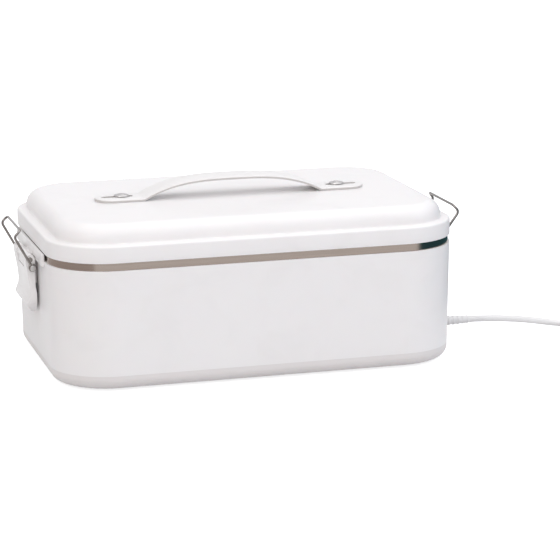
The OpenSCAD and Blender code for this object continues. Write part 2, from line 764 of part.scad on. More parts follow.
module lid_gasket() {
  edge = flange_out - lid_t - 0.15;
  color(warm_white) around() polygon([
    [edge - 2.4, rim_top], [edge - 0.9, rim_top], [edge - 0.9, liner_z], [edge - 2.4, liner_z]
  ]);
}

// ---- Strap handle -----------------------------------------------------------------------------

arch_half = arch_span / 2;
grip_half = 24;
slot_w = rivet_d + 0.5;
slot_in = 7;
// The slot lets its end slide inwards past the rivet
slot_out = strap_slide + rivet_d / 2 + 2.2;

// Height of the arch's underside above the lid
function arch(x) = arch_h * (1 - pow(min(1, abs(x) / arch_half), 3));
// Slope-following strap section between two places along x
module strap_run(x0, x1, steps) {
  across(-strap_w / 2, strap_w / 2) polygon(concat(
    [for (i = [0:steps]) let (x = x0 + (x1 - x0) * i / steps) [x, lid_top + arch(x)]],
    [for (i = [steps:-1:0]) let (x = x0 + (x1 - x0) * i / steps) [x, lid_top + arch(x) + strap_t]]
  ));
}

module strap_grip() { color(warm_white) strap_run(-grip_half, grip_half, 12); }
module strap_left_flex() { color(warm_white) strap_run(-arch_half, -grip_half, 10); }
module strap_right_flex() { color(warm_white) strap_run(grip_half, arch_half, 10); }

// A flat end: it runs from the arch to the rounded tip, and slides on its rivet
module strap_end() {
  r = strap_w / 2;
  color(warm_white) translate([0, 0, lid_top]) difference() {
    union() {
      block([arch_half, -r, 0], [tip_x - r, r, strap_t]);
      translate([tip_x - r, 0, 0]) rotate([0, 0, -90]) rotate_extrude(angle = 180) square([r, strap_t]);
    }
    block([rivet_x - slot_in, -slot_w / 2, -1], [rivet_x + slot_out, slot_w / 2, strap_t + 1]);
  }
}

module strap_right_end() { strap_end(); }
module strap_left_end() { mirror([1, 0, 0]) strap_end(); }

module handle_rivets() {
  top = lid_top + strap_t + 0.1;
  under = lid_top - lid_t - 1;
  color(steel) for (s = [-1, 1]) translate([s * rivet_x, 0, 0]) {
    translate([0, 0, under]) cylinder(d = rivet_d, h = top - under + 0.5);
    translate([0, 0, top]) rotate_extrude() polygon([
      [0, 0], [rivet_head_d / 2, 0], [rivet_head_d / 2, 0.7], [rivet_head_d / 2 - 0.8, 1.3], [2, 1.7], [0, 1.8]
    ]);
    translate([0, 0, under - 1]) cylinder(d = rivet_d + 1.8, h = 1);
  }
}

module rivet_washers() {
  color(steel) for (s = [-1, 1]) translate([s * rivet_x, 0, lid_top - lid_t - 1]) difference() {
    cylinder(d = rivet_head_d, h = 1);
    translate([0, 0, -1]) cylinder(d = rivet_d + 2 * running, h = 3);
  }
}

// ---- Lead and plug ----------------------------------------------------------------------------

module lead_connector() {
  w = 15;
  h = 6;
  color(pearl) difference() {
    union() {
      block([end_x - 10, -socket_y - w / 2, socket_z - h / 2], [end_x + 3, -socket_y + w / 2, socket_z + h / 2]);
      block([end_x + 1, -socket_y - 9, socket_z - 5.5], [end_x + connector_out, -socket_y + 9, socket_z + 5.5]);
    }
    for (s = [-1, 1]) bar_x(-socket_y + s * 4, socket_z, 2.5, end_x - 11, end_x - 1);
  }
}

module lead_relief() {
  color(pearl) translate([end_x + connector_out, -socket_y, socket_z]) rotate([0, 90, 0])
    cylinder(d1 = cord_d + 2.4, d2 = cord_d + 0.8, h = relief_l);
}

module lead_cord() { color(pearl) tube(cord_route, cord_d); }
module lead_coil() { color(pearl) tube(coil_route, cord_d, 6); }
module lead_tail() { color(pearl) tube(tail_route, cord_d); }

// A strap round the turns, on the coil's right side, with its buckle on top
module coil_tie() {
  w = 3;
  inner = coil_r - coil_turns / 2 * coil_pitch - cord_d / 2 - 0.5;
  outer = coil_r + cord_d / 2 - 0.2;
  top = coil_z + coil_pitch + cord_d / 2 + 0.1;
  color(warm_white) translate([coil_x, coil_y, 0]) {
    difference() {
      block([inner - tie_t, -w / 2, 0], [outer + tie_t, w / 2, top + tie_t]);
      block([inner, -w, tie_t], [outer, w, top]);
    }
    block([outer - 9, -w / 2 - 0.8, top + tie_t / 2], [outer - 4, w / 2 + 0.8, top + tie_t + 2]);
  }
}

plug_relief_l = 20;
plug_l = 34;
plug_w = 34;
plug_h = 13.7;
plug_pin_d = 4;
plug_pin_l = 19;
plug_pin_gap = 19;
plug_root_d = 3;
plug_root_l = 8;

module plug_relief() {
  color(pearl) translate(tail_end) rotate([-90, 0, 0])
    cylinder(d1 = cord_d + 1, d2 = cord_d + 4.4, h = plug_relief_l);
}

module mains_plug() {
  y = tail_end[1] + plug_relief_l;
  color(pearl) translate([tail_end[0], y, 0]) difference() {
    intersection() {
      block([-plug_w / 2, 0, 0], [plug_w / 2, plug_l, plug_h]);
      linear_extrude(height = plug_h) polygon([
        [-7, 0], [7, 0], [plug_w / 2, 13], [plug_w / 2, plug_l], [-plug_w / 2, plug_l], [-plug_w / 2, 13]
      ]);
    }
    for (s = [-1, 1])
      bar_y(s * plug_pin_gap / 2, plug_h / 2, plug_root_d + 2 * running, plug_l - plug_root_l, plug_l + 1);
  }
}

module plug_pins() {
  y = tail_end[1] + plug_relief_l + plug_l;
  color(steel) for (s = [-1, 1])
    translate([tail_end[0] + s * plug_pin_gap / 2, 0, 0]) {
      bar_y(0, plug_h / 2, plug_root_d, y - plug_root_l, y + 1);
      bar_y(0, plug_h / 2, plug_pin_d, y, y + plug_pin_l);
    }
}

outer_shell();
base_cap();
rubber_feet();
base_screws();
heating_well();
heat_plate();
ptc_heater();
insulation_pad();
heater_clamp();
clamp_screws();
thermostat();
thermal_fuse();
wiring();
inlet_socket();
inlet_pins();
left_bracket();
right_bracket();
bracket_screws();
left_hinge_pin();
right_hinge_pin();
left_lever();
right_lever();
left_bail_pins();
right_bail_pins();
left_bail();
right_bail();
food_container();
divider();
inner_lid();
inner_lid_seal();
vent_plug();
lid_shell();
lid_liner();
lid_gasket();
handle_rivets();
rivet_washers();
strap_grip();
strap_left_end();
strap_right_end();
strap_left_flex();
strap_right_flex();
lead_connector();
lead_relief();
lead_cord();
lead_coil();
lead_tail();
coil_tie();
plug_relief();
mains_plug();
plug_pins();
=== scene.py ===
"""Electric lunch box: the looks of a white plastic food warmer with a steel container and a mains lead.

All lengths in the classes are millimetres; the meshes are made in metres.
"""
import logging
import math
from dataclasses import dataclass
from enum import Enum
from functools import cache
from typing import Sequence

import bmesh
import bpy
from bpy.types import ID, Curve, Material, Mesh, Node, NodeSocket, NodeTree, Object
from mathutils import Matrix, Vector


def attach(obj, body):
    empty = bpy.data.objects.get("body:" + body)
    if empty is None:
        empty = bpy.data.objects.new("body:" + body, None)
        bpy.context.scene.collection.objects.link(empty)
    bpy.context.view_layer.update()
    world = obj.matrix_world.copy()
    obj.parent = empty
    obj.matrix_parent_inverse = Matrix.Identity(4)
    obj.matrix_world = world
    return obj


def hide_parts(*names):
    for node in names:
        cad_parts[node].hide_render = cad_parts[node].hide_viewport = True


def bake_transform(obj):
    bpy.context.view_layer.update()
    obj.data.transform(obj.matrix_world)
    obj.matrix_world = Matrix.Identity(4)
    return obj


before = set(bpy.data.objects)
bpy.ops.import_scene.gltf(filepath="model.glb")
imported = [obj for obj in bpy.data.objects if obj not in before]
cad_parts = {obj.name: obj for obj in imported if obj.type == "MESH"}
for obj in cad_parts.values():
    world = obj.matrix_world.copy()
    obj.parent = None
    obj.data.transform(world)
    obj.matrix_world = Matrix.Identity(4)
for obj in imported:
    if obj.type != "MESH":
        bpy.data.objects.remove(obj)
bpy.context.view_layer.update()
LOG = logging.getLogger("lunch_box")
MM = 0.001
Pair = tuple[float, float]
Point = tuple[float, float, float]
Colour = tuple[float, float, float]
Profile = list[Pair]


# ---- Sizes ----


@dataclass(frozen=True)
class Box:
    """The lunch box's levels and outline, in millimetres."""

    half_x: float = 85.0
    half_y: float = 45.0
    corner_r: float = 35.0
    rim_top: float = 74.5
    flange_top: float = 84.3
    lid_top: float = 95.0

    @property
    def end_x(self) -> float:
        """Where an end face lies."""
        return self.half_x + self.corner_r


@dataclass(frozen=True)
class Rounding:
    """How a mould or a press leaves the edges of a piece.

    Attributes:
        width: Width of the rounding.
        segments: Faces across it.
        angle: Edges that bend more than this are rounded, in degrees.
    """

    width: float
    segments: int = 3
    angle: float = 40.0


BOX = Box()


# ---- Nodes ----


class NodeSet:
    """Adds nodes to one tree and links them."""

    def __init__(self, tree: NodeTree) -> None:
        """Keeps the tree."""
        self.tree = tree
        self.column = 0

    def add(self, kind: str, links: dict | None = None, **values: object) -> Node:
        """Adds a node.

        Args:
            kind: Blender's identifier of the node.
            links: Input names or numbers, each with a value, a socket or a node (its first output).
            values: Attributes of the node, set before its inputs.

        Returns:
            The new node.
        """
        node = self.tree.nodes.new(kind)
        node.location = (self.column * 180, -40 * (self.column % 4))
        self.column += 1
        for name, value in values.items():
            setattr(node, name, value)
        for name, value in (links or {}).items():
            source = value.outputs[0] if isinstance(value, Node) else value
            if isinstance(source, NodeSocket):
                self.tree.links.new(source, node.inputs[name])
            else:
                node.inputs[name].default_value = source
        return node

    def math(self, operation: str, a: object, b: object = 0.0) -> Node:
        """Adds a math node of one or two values."""
        return self.add("ShaderNodeMath", {0: a, 1: b}, operation=operation)

    def noise(self, place: NodeSocket, scale: object, detail: float, **inputs: float) -> Node:
        """Adds a noise texture; its further inputs go by their own names."""
        return self.add("ShaderNodeTexNoise", {"Vector": place, "Scale": scale, "Detail": detail, **inputs})

    def ramp(self, value: object, start: object, stop: object, soft: bool = True) -> Node:
        """Adds a rise from 0 at start to 1 at stop, eased at both ends if it is soft."""
        return self.add("ShaderNodeMapRange", {"Value": value, "From Min": start, "From Max": stop},
                        interpolation_type="SMOOTHSTEP" if soft else "LINEAR")

    def mix_colour(self, factor: object, a: object, b: object, blend: str = "MIX") -> NodeSocket:
        """The colour of a mix; its sockets share their names with other types' and so go by number."""
        mix = self.add("ShaderNodeMix", {0: factor, 6: a, 7: b}, data_type="RGBA", blend_type=blend)
        return mix.outputs[2]

    def mix_shader(self, factor: object, a: Node, b: Node) -> Node:
        """Adds a mix of two shaders."""
        return self.add("ShaderNodeMixShader", {0: factor, 1: a, 2: b})


def fresh_material(name: str) -> tuple[Material, NodeSet]:
    """Makes a material with an empty tree.

    Args:
        name: The material's name.

    Returns:
        The material and a node set for it.
    """
    mat = bpy.data.materials.new(name)
    mat.use_nodes = True
    mat.node_tree.nodes.clear()
    return mat, NodeSet(mat.node_tree)


# ---- Shader groups ----


class Grain(Enum):
    """The kinds of surface detail that the finishes share."""

    MOULD = "mould_grain"
    BRUSH = "brushed_lines"
    HANDLING = "handling_marks"


def shader_group(kind: Grain, inputs: dict[str, float], outputs: Sequence[str]) -> tuple[NodeSet, Node]:
    """Makes an empty shader group that takes a place and some numbers and puts out numbers.

    Args:
        kind: What it is for.
        inputs: Name and default of each number.
        outputs: Names of the outputs.

    Returns:
        A node set for the tree, and its input node.
    """
    tree = bpy.data.node_groups.new(kind.value, "ShaderNodeTree")
    tree.interface.new_socket("Vector", in_out="INPUT", socket_type="NodeSocketVector")
    for label, default in inputs.items():
        socket = tree.interface.new_socket(label, in_out="INPUT", socket_type="NodeSocketFloat")
        socket.default_value = default
    for label in outputs:
        tree.interface.new_socket(label, in_out="OUTPUT", socket_type="NodeSocketFloat")
    nodes = NodeSet(tree)
    return nodes, nodes.add("NodeGroupInput")


def mould_grain_group() -> NodeTree:
    """Spark-eroded mould texture: a fine height and a faint, broad shade.

    Returns:
        The shader group.
    """
    n, gin = shader_group(Grain.MOULD, {"Scale": 2600.0, "Cloud": 22.0}, ("Height", "Shade"))
    place, scale = gin.outputs["Vector"], gin.outputs["Scale"]
    pits = n.add("ShaderNodeTexVoronoi", {"Vector": place, "Scale": scale})
    both = n.math("ADD", n.noise(place, scale, 3.0), pits)
    cloud = n.noise(place, gin.outputs["Cloud"], 4.0)
    n.add("NodeGroupOutput", {"Height": n.math("MULTIPLY", both, 0.5), "Shade": cloud})
    return n.tree


def brushed_lines_group() -> NodeTree:
    """Long fine lines of a rolled or brushed sheet, with broad bands between them.

    Returns:
        The shader group.
    """
    n, gin = shader_group(Grain.BRUSH, {"Scale": 900.0}, ("Height", "Shade"))
    place = gin.outputs["Vector"]
    lines = n.noise(place, gin.outputs["Scale"], 5.0, Roughness=0.7)
    n.add("NodeGroupOutput", {"Height": lines, "Shade": n.noise(place, 60.0, 2.0)})
    return n.tree


def handling_marks_group() -> NodeTree:
    """Faint smears and dust that build up where a thing is held.

    Returns:
        The shader group.
    """
    n, gin = shader_group(Grain.HANDLING, {"Low": 0.45, "High": 0.75}, ("Mask",))
    smear = n.noise(gin.outputs["Vector"], 46.0, 6.0, Distortion=0.8)
    n.add("NodeGroupOutput", {"Mask": n.ramp(smear, gin.outputs["Low"], gin.outputs["High"])})
    return n.tree


@cache
def group_of(kind: Grain) -> NodeTree:
    """The shader group of a kind, built the first time it is asked for."""
    makers = {Grain.MOULD: mould_grain_group, Grain.BRUSH: brushed_lines_group,
              Grain.HANDLING: handling_marks_group}
    return makers[kind]()


# ---- Finishes ----


# Colour of smears and dust, in sRGB
SOIL: Colour = (0.62, 0.58, 0.54)
# Depth of a bump and of the light's way under a surface, in metres
BUMP_DEPTH = 0.0004
SKIN_DEPTH = 0.002
COAT_ROUGH = 0.12
# How far up a face looks where it starts to count as upright for the painted side shade, and where it fully
# does
UPRIGHT = (0.75, 0.15)


def linear(c: Colour) -> tuple[float, float, float, float]:
    """An sRGB colour as Blender's linear colour with alpha 1."""
    return tuple(v / 12.92 if v <= 0.04045 else ((v + 0.055) / 1.055) ** 2.4 for v in c) + (1.0,)


@dataclass(frozen=True)
class Finish:
    """One finish: a Principled surface with grain, colour variation, handling marks and painted shade on
    upright faces.

    Attributes:
        name: The finish's name.
        colour: Colour in sRGB.
        tint: Second colour that the broad shade leads to, in sRGB.
        rough: Lowest and highest roughness.
        metal: Metallic value.
        grain: The group that gives height and shade.
        scale: Scale of the grain.
        bump: Strength of the bump.
        stretch: Scale of the pattern along x, y and z.
        coat: Weight of a clear coat.
        sheen: Weight of the soft sheen.
        clear: Transmission weight.
        sub: Subsurface weight.
        ior: Index of refraction.
        marks: How far handling marks darken the colour.
        sides: Painted shade: the colour that upright faces are multiplied by, in sRGB.
    """

    name: str
    colour: Colour
    tint: Colour
    rough: Pair = (0.4, 0.5)
    metal: float = 0.0
    grain: Grain = Grain.MOULD
    scale: float = 2600.0
    bump: float = 0.05
    stretch: Point = (1.0, 1.0, 1.0)
    coat: float = 0.0
    sheen: float = 0.0
    clear: float = 0.0
    sub: float = 0.0
    ior: float = 1.46
    marks: float = 0.03
    sides: Colour = (1.0, 1.0, 1.0)

    @classmethod
    def metallic(cls, name: str, colour: Colour, tint: Colour, rough: Pair, scale: float,
                 **values: object) -> "Finish":
        """A finish of brushed metal."""
        return cls(name, colour, tint, rough, metal=1.0, grain=Grain.BRUSH, scale=scale, **values)

    def build(self) -> Material:
        """Makes the material, or returns it if it is there.

        Returns:
            The material.
        """
        label = f"{self.name}_surface"
        if label in bpy.data.materials:
            return bpy.data.materials[label]
        mat, n = fresh_material(label)
        place = n.add("ShaderNodeTexCoord").outputs["Object"]
        turned = n.add("ShaderNodeMapping", {"Vector": place, "Scale": self.stretch})
        grain = n.add("ShaderNodeGroup", {"Vector": turned, "Scale": self.scale},
                      node_tree=group_of(self.grain))
        marks = n.add("ShaderNodeGroup", {"Vector": place}, node_tree=group_of(Grain.HANDLING))
        height, shade = grain.outputs["Height"], grain.outputs["Shade"]
        base = n.mix_colour(shade, linear(self.colour), linear(self.tint))
        soiled = n.math("MULTIPLY", marks, self.marks)
        worn = n.mix_colour(soiled, base, linear(SOIL), "MULTIPLY")
        facing = n.add("ShaderNodeNewGeometry").outputs["True Normal"]
        level = n.math("ABSOLUTE", n.add("ShaderNodeSeparateXYZ", {"Vector": facing}).outputs["Z"])
        # Painted shade: faces that stand upright are multiplied by the side colour
        side_shaded_colour = n.mix_colour(n.ramp(level, *UPRIGHT, soft=False), worn, linear(self.sides), "MULTIPLY")
        low, high = self.rough
        rough = n.add("ShaderNodeMapRange", {"Value": shade, "To Min": low, "To Max": high})
        bump = n.add("ShaderNodeBump", {"Strength": self.bump, "Distance": BUMP_DEPTH, "Height": height})
        body = n.add("ShaderNodeBsdfPrincipled", {
            "Base Color": side_shaded_colour, "Roughness": rough, "Normal": bump, "Metallic": self.metal, "IOR": self.ior,
            "Coat Weight": self.coat, "Coat Roughness": COAT_ROUGH, "Sheen Weight": self.sheen,
            "Transmission Weight": self.clear, "Subsurface Weight": self.sub, "Subsurface Scale": SKIN_DEPTH})
        n.add("ShaderNodeOutputMaterial", {"Surface": body})
        mat.diffuse_color = linear(self.colour)
        return mat


HOUSING = Finish("pearl_housing", (0.925, 0.912, 0.910), (0.918, 0.905, 0.903), (0.36, 0.44), coat=0.12,
                 bump=0.045, sub=0.04)
# The cap is a little darker than the housing: painted shade for a part that faces down
CAP = Finish("warm_cap", (0.878, 0.858, 0.852), (0.870, 0.850, 0.844), (0.38, 0.48), bump=0.05, sub=0.04)
LATCH = Finish("latch_plastic", (0.925, 0.913, 0.910), (0.918, 0.906, 0.903), (0.26, 0.36), coat=0.35,
               bump=0.02)
# The strap's side colour is painted shade that darkens its upright edges
STRAP = Finish("strap_plastic", (0.900, 0.890, 0.886), (0.892, 0.880, 0.875), (0.44, 0.56), scale=1900.0,
               bump=0.10, sheen=0.12, marks=0.06, sides=(0.84, 0.83, 0.82))
LEAD = Finish("lead_plastic", (0.925, 0.915, 0.912), (0.905, 0.895, 0.890), (0.40, 0.50), scale=1500.0,
              bump=0.05, marks=0.05)
FOOT = Finish("foot_rubber", (0.16, 0.16, 0.165), (0.11, 0.11, 0.115), (0.65, 0.85), scale=1200.0, bump=0.25)
DARK = Finish("dark_plastic", (0.11, 0.11, 0.115), (0.08, 0.08, 0.085), (0.35, 0.5), bump=0.12)
MICA = Finish("mica_sheet", (0.82, 0.77, 0.64), (0.72, 0.66, 0.52), (0.5, 0.7), scale=500.0, bump=0.2,
              marks=0.2)
RED_WIRE = Finish("wire_insulation", (0.62, 0.14, 0.12), (0.52, 0.10, 0.09), (0.3, 0.42), scale=1500.0)
CLEAR = Finish("clear_plastic", (0.93, 0.95, 0.955), (0.90, 0.93, 0.94), (0.16, 0.24), clear=0.72, bump=0.03,
               ior=1.49, marks=0.02)
SILICONE = Finish("soft_silicone", (0.90, 0.89, 0.87), (0.86, 0.85, 0.83), (0.5, 0.62), scale=1400.0,
                  bump=0.1, sub=0.1)
STEEL = Finish.metallic("container_steel", (0.68, 0.63, 0.595), (0.62, 0.575, 0.545), (0.11, 0.19), 260.0,
                        bump=0.04, stretch=(0.35, 0.35, 18.0))
# The wire's colour is darker than the other steel's: a painted dark reflection of the surroundings
WIRE = Finish.metallic("wire_steel", (0.58, 0.56, 0.545), (0.51, 0.49, 0.48), (0.10, 0.20), 500.0, bump=0.02)
RIVET = Finish.metallic("rivet_steel", (0.78, 0.77, 0.765), (0.70, 0.69, 0.685), (0.22, 0.34), 1400.0)
SCREW = Finish.metallic("screw_steel", (0.68, 0.67, 0.66), (0.55, 0.54, 0.53), (0.2, 0.35), 1200.0)
PIN = Finish.metallic("pin_metal", (0.76, 0.74, 0.70), (0.70, 0.67, 0.62), (0.16, 0.28), 900.0)
ALLOY = Finish.metallic("plate_aluminium", (0.80, 0.80, 0.81), (0.70, 0.70, 0.71), (0.28, 0.42), 500.0,
                        bump=0.06, stretch=(6.0, 0.4, 1.0))

# The pieces of the construction that each finish dresses
WORN_BY: dict[Finish, str] = {
    HOUSING: "outer_shell heating_well lid_shell lid_liner",
    CAP: "base_cap",
    FOOT: "rubber_feet",
    DARK: "thermostat inlet_socket",
    MICA: "insulation_pad",
    RED_WIRE: "wiring",
    CLEAR: "inner_lid",
    SILICONE: "inner_lid_seal vent_plug lid_gasket coil_tie",
    LATCH: "left_bracket right_bracket left_lever right_lever",
    STRAP: "strap_grip strap_left_end strap_right_end strap_left_flex strap_right_flex",
    LEAD: "lead_connector lead_relief lead_cord lead_coil lead_tail plug_relief mains_plug",
    STEEL: "food_container divider",
    WIRE: "left_hinge_pin right_hinge_pin left_bail_pins right_bail_pins left_bail right_bail",
    RIVET: "handle_rivets",
    SCREW: "base_screws clamp_screws bracket_screws rivet_washers",
    PIN: "heater_clamp inlet_pins plug_pins",
    ALLOY: "heat_plate ptc_heater thermal_fuse",
}
DRESS = {name: finish for finish, names in WORN_BY.items() for name in names.split()}


# ---- Meshes ----


# Points nearer than this merge, in metres: in general, in a copied solid, and in sets of small parts
MERGE = 1e-6
MERGE_SOLID = 2e-6
MERGE_FINE = 1e-7
# Edges that bend more than this stay sharp, in degrees: on turned parts, on copied solids, and on tubes
SHARP_PART = 35.0
SHARP_SOLID = 32.0
SHARP_TUBE = 60.0
# Faces of a copied solid that bend less than this become one, in degrees
FLAT = 1.2


def in_scene(name: str, data: ID) -> Object:
    """Makes an object and puts it in the scene.

    Args:
        name: Its name.
        data: Its mesh, curve, camera or light.

    Returns:
        The object.
    """
    made = bpy.data.objects.new(name, data)
    bpy.context.scene.collection.objects.link(made)
    return made


def new_piece(name: str, mesh: Mesh, body: str, finish: Finish, nodes: Sequence[str]) -> Object:
    """Makes an object of a finished mesh, dresses it and lets it ride.

    Args:
        name: The piece's name.
        mesh: Its mesh, in place, in metres.
        body: The body that it moves with, or nothing if it bends between two.
        finish: What it wears.
        nodes: The solids that it stands for.

    Returns:
        The object.
    """
    piece = in_scene(name, mesh)
    mesh.materials.clear()
    mesh.materials.append(finish.build())
    if body:
        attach(piece, body)
    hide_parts(*nodes)
    LOG.info("%s: %d faces, on %s", name, len(mesh.polygons), body or "two bodies")
    return piece


def tidy(mesh: Mesh, sharp: float, recalc: bool = True, merge: float = MERGE) -> None:
    """Merges doubles, turns faces outwards and marks the sharp edges of a smooth mesh.

    Args:
        mesh: The mesh to change.
        sharp: Edges that bend more than this stay sharp, in degrees.
        recalc: Whether to turn the faces outwards.
        merge: Distance below which points are merged, in metres.
    """
    bm = bmesh.new()
    bm.from_mesh(mesh)
    bmesh.ops.remove_doubles(bm, verts=bm.verts, dist=merge)
    bmesh.ops.dissolve_degenerate(bm, edges=bm.edges, dist=merge)
    if recalc:
        bmesh.ops.recalc_face_normals(bm, faces=bm.faces)
    limit = math.radians(sharp)
    for face in bm.faces:
        face.smooth = True
    for edge in bm.edges:
        edge.smooth = len(edge.link_faces) != 2 or edge.calc_face_angle(0.0) < limit
    bm.to_mesh(mesh)
    bm.free()
    mesh.update()


def mesh_of(name: str, verts: Sequence[Point], faces: Sequence[Sequence[int]], sharp: float) -> Mesh:
    """Makes a clean mesh from points in millimetres.

    Args:
        name: The mesh's name.
        verts: Its points.
        faces: Its faces as lists of point numbers.
        sharp: Edges that bend more than this stay sharp, in degrees.

    Returns:
        The mesh, in metres.
    """
    mesh = bpy.data.meshes.new(name)
    mesh.from_pydata([[c * MM for c in v] for v in verts], [], faces)
    tidy(mesh, sharp)
    return mesh


def join(meshes: Sequence[Mesh], into: Mesh) -> None:
    """Writes several meshes into one.

    Args:
        meshes: The meshes.
        into: The mesh that receives them, which may be one of them.
    """
    bm = bmesh.new()
    for mesh in meshes:
        bm.from_mesh(mesh)
    bm.to_mesh(into)
    bm.free()


def baked(obj: Object, name: str) -> Mesh:
    """The mesh that an object's modifiers give; the object is then removed.

    Args:
        obj: The object with its modifiers.
        name: The new mesh's name.

    Returns:
        A plain mesh, in place.
    """
    graph = bpy.context.evaluated_depsgraph_get()
    mesh = bpy.data.meshes.new_from_object(obj.evaluated_get(graph))
    mesh.name = name
    bpy.data.objects.remove(obj)
    return mesh


def soft_piece(name: str, node: str, body: str, finish: Finish, slot: str, edge: Rounding) -> Object:
    """Makes a piece that is one solid with its edges rounded.

    Args:
        name: The piece's name.
        node: The solid.
        body: The body that it moves with.
        finish: What it wears.
        slot: The record's material slot; not used.
        edge: How its edges are rounded.

    Returns:
        The piece.
    """
    bm = bmesh.new()
    bm.from_mesh(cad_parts[node].data)
    bmesh.ops.remove_doubles(bm, verts=bm.verts, dist=MERGE_SOLID)
    bmesh.ops.dissolve_limit(bm, angle_limit=math.radians(FLAT), verts=bm.verts, edges=bm.edges)
    mesh = bpy.data.meshes.new(name)
    bm.to_mesh(mesh)
    bm.free()
    holder = in_scene(name + "_soft", mesh)
    bevel = holder.modifiers.new("edges", "BEVEL")
    bevel.width = edge.width * MM
    bevel.segments = edge.segments
    bevel.limit_method = "ANGLE"
    bevel.angle_limit = math.radians(edge.angle)
    bevel.use_clamp_overlap = True
    bevel.harden_normals = False
    result = baked(holder, name)
    tidy(result, SHARP_SOLID, recalc=False)
    return new_piece(name, result, body, finish, [node])


# ---- Geometry node trees ----


@dataclass
class Tree:
    """A Geometry Nodes tree with named inputs, used on one object and then turned into a mesh.

    Attributes:
        name: The tree's name.
        inputs: Name and kind of each input between the geometry and the material.
        group: The tree itself, once it is started.
    """

    name: str
    inputs: dict[str, str]
    group: NodeTree | None = None

    def start(self) -> tuple[NodeSet, dict[str, NodeSocket]]:
        """Makes the tree with its sockets.

        Returns:
            A node set, and what each input gives.
        """
        self.group = bpy.data.node_groups.new(self.name, "GeometryNodeTree")
        for label, kind in {"Geometry": "Geometry", **self.inputs, "Material": "Material"}.items():
            self.group.interface.new_socket(label, in_out="INPUT", socket_type=f"NodeSocket{kind}")
        self.group.interface.new_socket("Geometry", in_out="OUTPUT", socket_type="NodeSocketGeometry")
        n = NodeSet(self.group)
        gin = n.add("NodeGroupInput")
        return n, {socket.name: socket for socket in gin.outputs if socket.name}

    def end(self, n: NodeSet, made: Node, material: NodeSocket) -> "Tree":
        """Closes the tree with smooth shading, real geometry and its material.

        Args:
            n: The node set.
            made: The node that makes the shape.
            material: The material's socket.

        Returns:
            The tree.
        """
        smooth = n.add("GeometryNodeSetShadeSmooth", {"Geometry": made})
        real = n.add("GeometryNodeRealizeInstances", {"Geometry": smooth})
        dressed = n.add("GeometryNodeSetMaterial", {"Geometry": real, "Material": material})
        n.add("NodeGroupOutput", {"Geometry": dressed})
        return self

    def use(self, data: ID, name: str, **values: object) -> Mesh:
        """Runs the tree on a mesh or curve.

        Args:
            data: What it works on.
            name: The resulting mesh's name.
            values: Its inputs by label, with underscores for spaces.

        Returns:
            The resulting mesh.
        """
        holder = in_scene(name + "_tree", data)
        modifier = holder.modifiers.new(self.name, "NODES")
        modifier.node_group = self.group
        for item in self.group.interface.items_tree:
            key = item.name.replace(" ", "_")
            if item.item_type == "SOCKET" and item.in_out == "INPUT" and key in values:
                modifier[item.identifier] = values[key]
        return baked(holder, name)


@cache
def round_sweep_tree() -> Tree:
    """Sweeps a profile round the box's rounded outline.

    Returns:
        The tree.
    """
    tree = Tree("round_sweep", {"Length": "Float", "Width": "Float", "Corner": "Float",
                                "Corner Steps": "Int"})
    n, given = tree.start()
    outline = n.add("GeometryNodeCurvePrimitiveQuadrilateral",
                    {"Width": given["Length"], "Height": given["Width"]}, mode="RECTANGLE")
    rounded = n.add("GeometryNodeFilletCurve", {"Curve": outline, "Count": given["Corner Steps"],
                                                "Radius": given["Corner"]}, mode="POLY")
    level = n.add("GeometryNodeSetCurveNormal", {"Curve": rounded}, mode="Z_UP")
    profile = n.add("GeometryNodeMeshToCurve", {"Mesh": given["Geometry"]})
    swept = n.add("GeometryNodeCurveToMesh", {"Curve": level, "Profile Curve": profile})
    return tree.end(n, swept, given["Material"])


@cache
def wire_tree() -> Tree:
    """Sweeps a round section along a path, with its ends closed.

    Returns:
        The tree.
    """
    tree = Tree("wire", {"Radius": "Float", "Sides": "Int"})
    n, given = tree.start()
    ring = n.add("GeometryNodeCurvePrimitiveCircle",
                 {"Resolution": given["Sides"], "Radius": given["Radius"]}, mode="RADIUS")
    swept = n.add("GeometryNodeCurveToMesh",
                  {"Curve": given["Geometry"], "Profile Curve": ring, "Fill Caps": True})
    return tree.end(n, swept, given["Material"])


@cache
def placed_tree() -> Tree:
    """Sets a small part on every point of a mesh, turned and scaled by the point's attributes.

    Returns:
        The tree.
    """
    tree = Tree("placed_parts", {"Part": "Object"})
    n, given = tree.start()
    points = n.add("GeometryNodeMeshToPoints", {"Mesh": given["Geometry"]}, mode="VERTICES")
    turn = n.add("GeometryNodeInputNamedAttribute", {"Name": "turn"}, data_type="FLOAT_VECTOR")
    grow = n.add("GeometryNodeInputNamedAttribute", {"Name": "grow"}, data_type="FLOAT")
    part = n.add("GeometryNodeObjectInfo", {"Object": given["Part"]}, transform_space="ORIGINAL")
    rotation = n.add("FunctionNodeEulerToRotation", {"Euler": turn})
    set_on = n.add("GeometryNodeInstanceOnPoints", {
        "Points": points, "Instance": part.outputs["Geometry"], "Rotation": rotation, "Scale": grow})
    return tree.end(n, set_on, given["Material"])


# ---- Shapes ----


def circle(steps: int) -> Profile:
    """Points round a circle of radius 1."""
    return [(math.cos(2 * math.pi * k / steps), math.sin(2 * math.pi * k / steps)) for k in range(steps)]


def arc(cx: float, cz: float, r: float, a0: float, a1: float, steps: int = 10) -> Profile:
    """Points along an arc in a profile; the angles are in degrees."""
    turn = [math.radians(a0 + (a1 - a0) * i / steps) for i in range(steps + 1)]
    return [(cx + r * math.cos(a), cz + r * math.sin(a)) for a in turn]


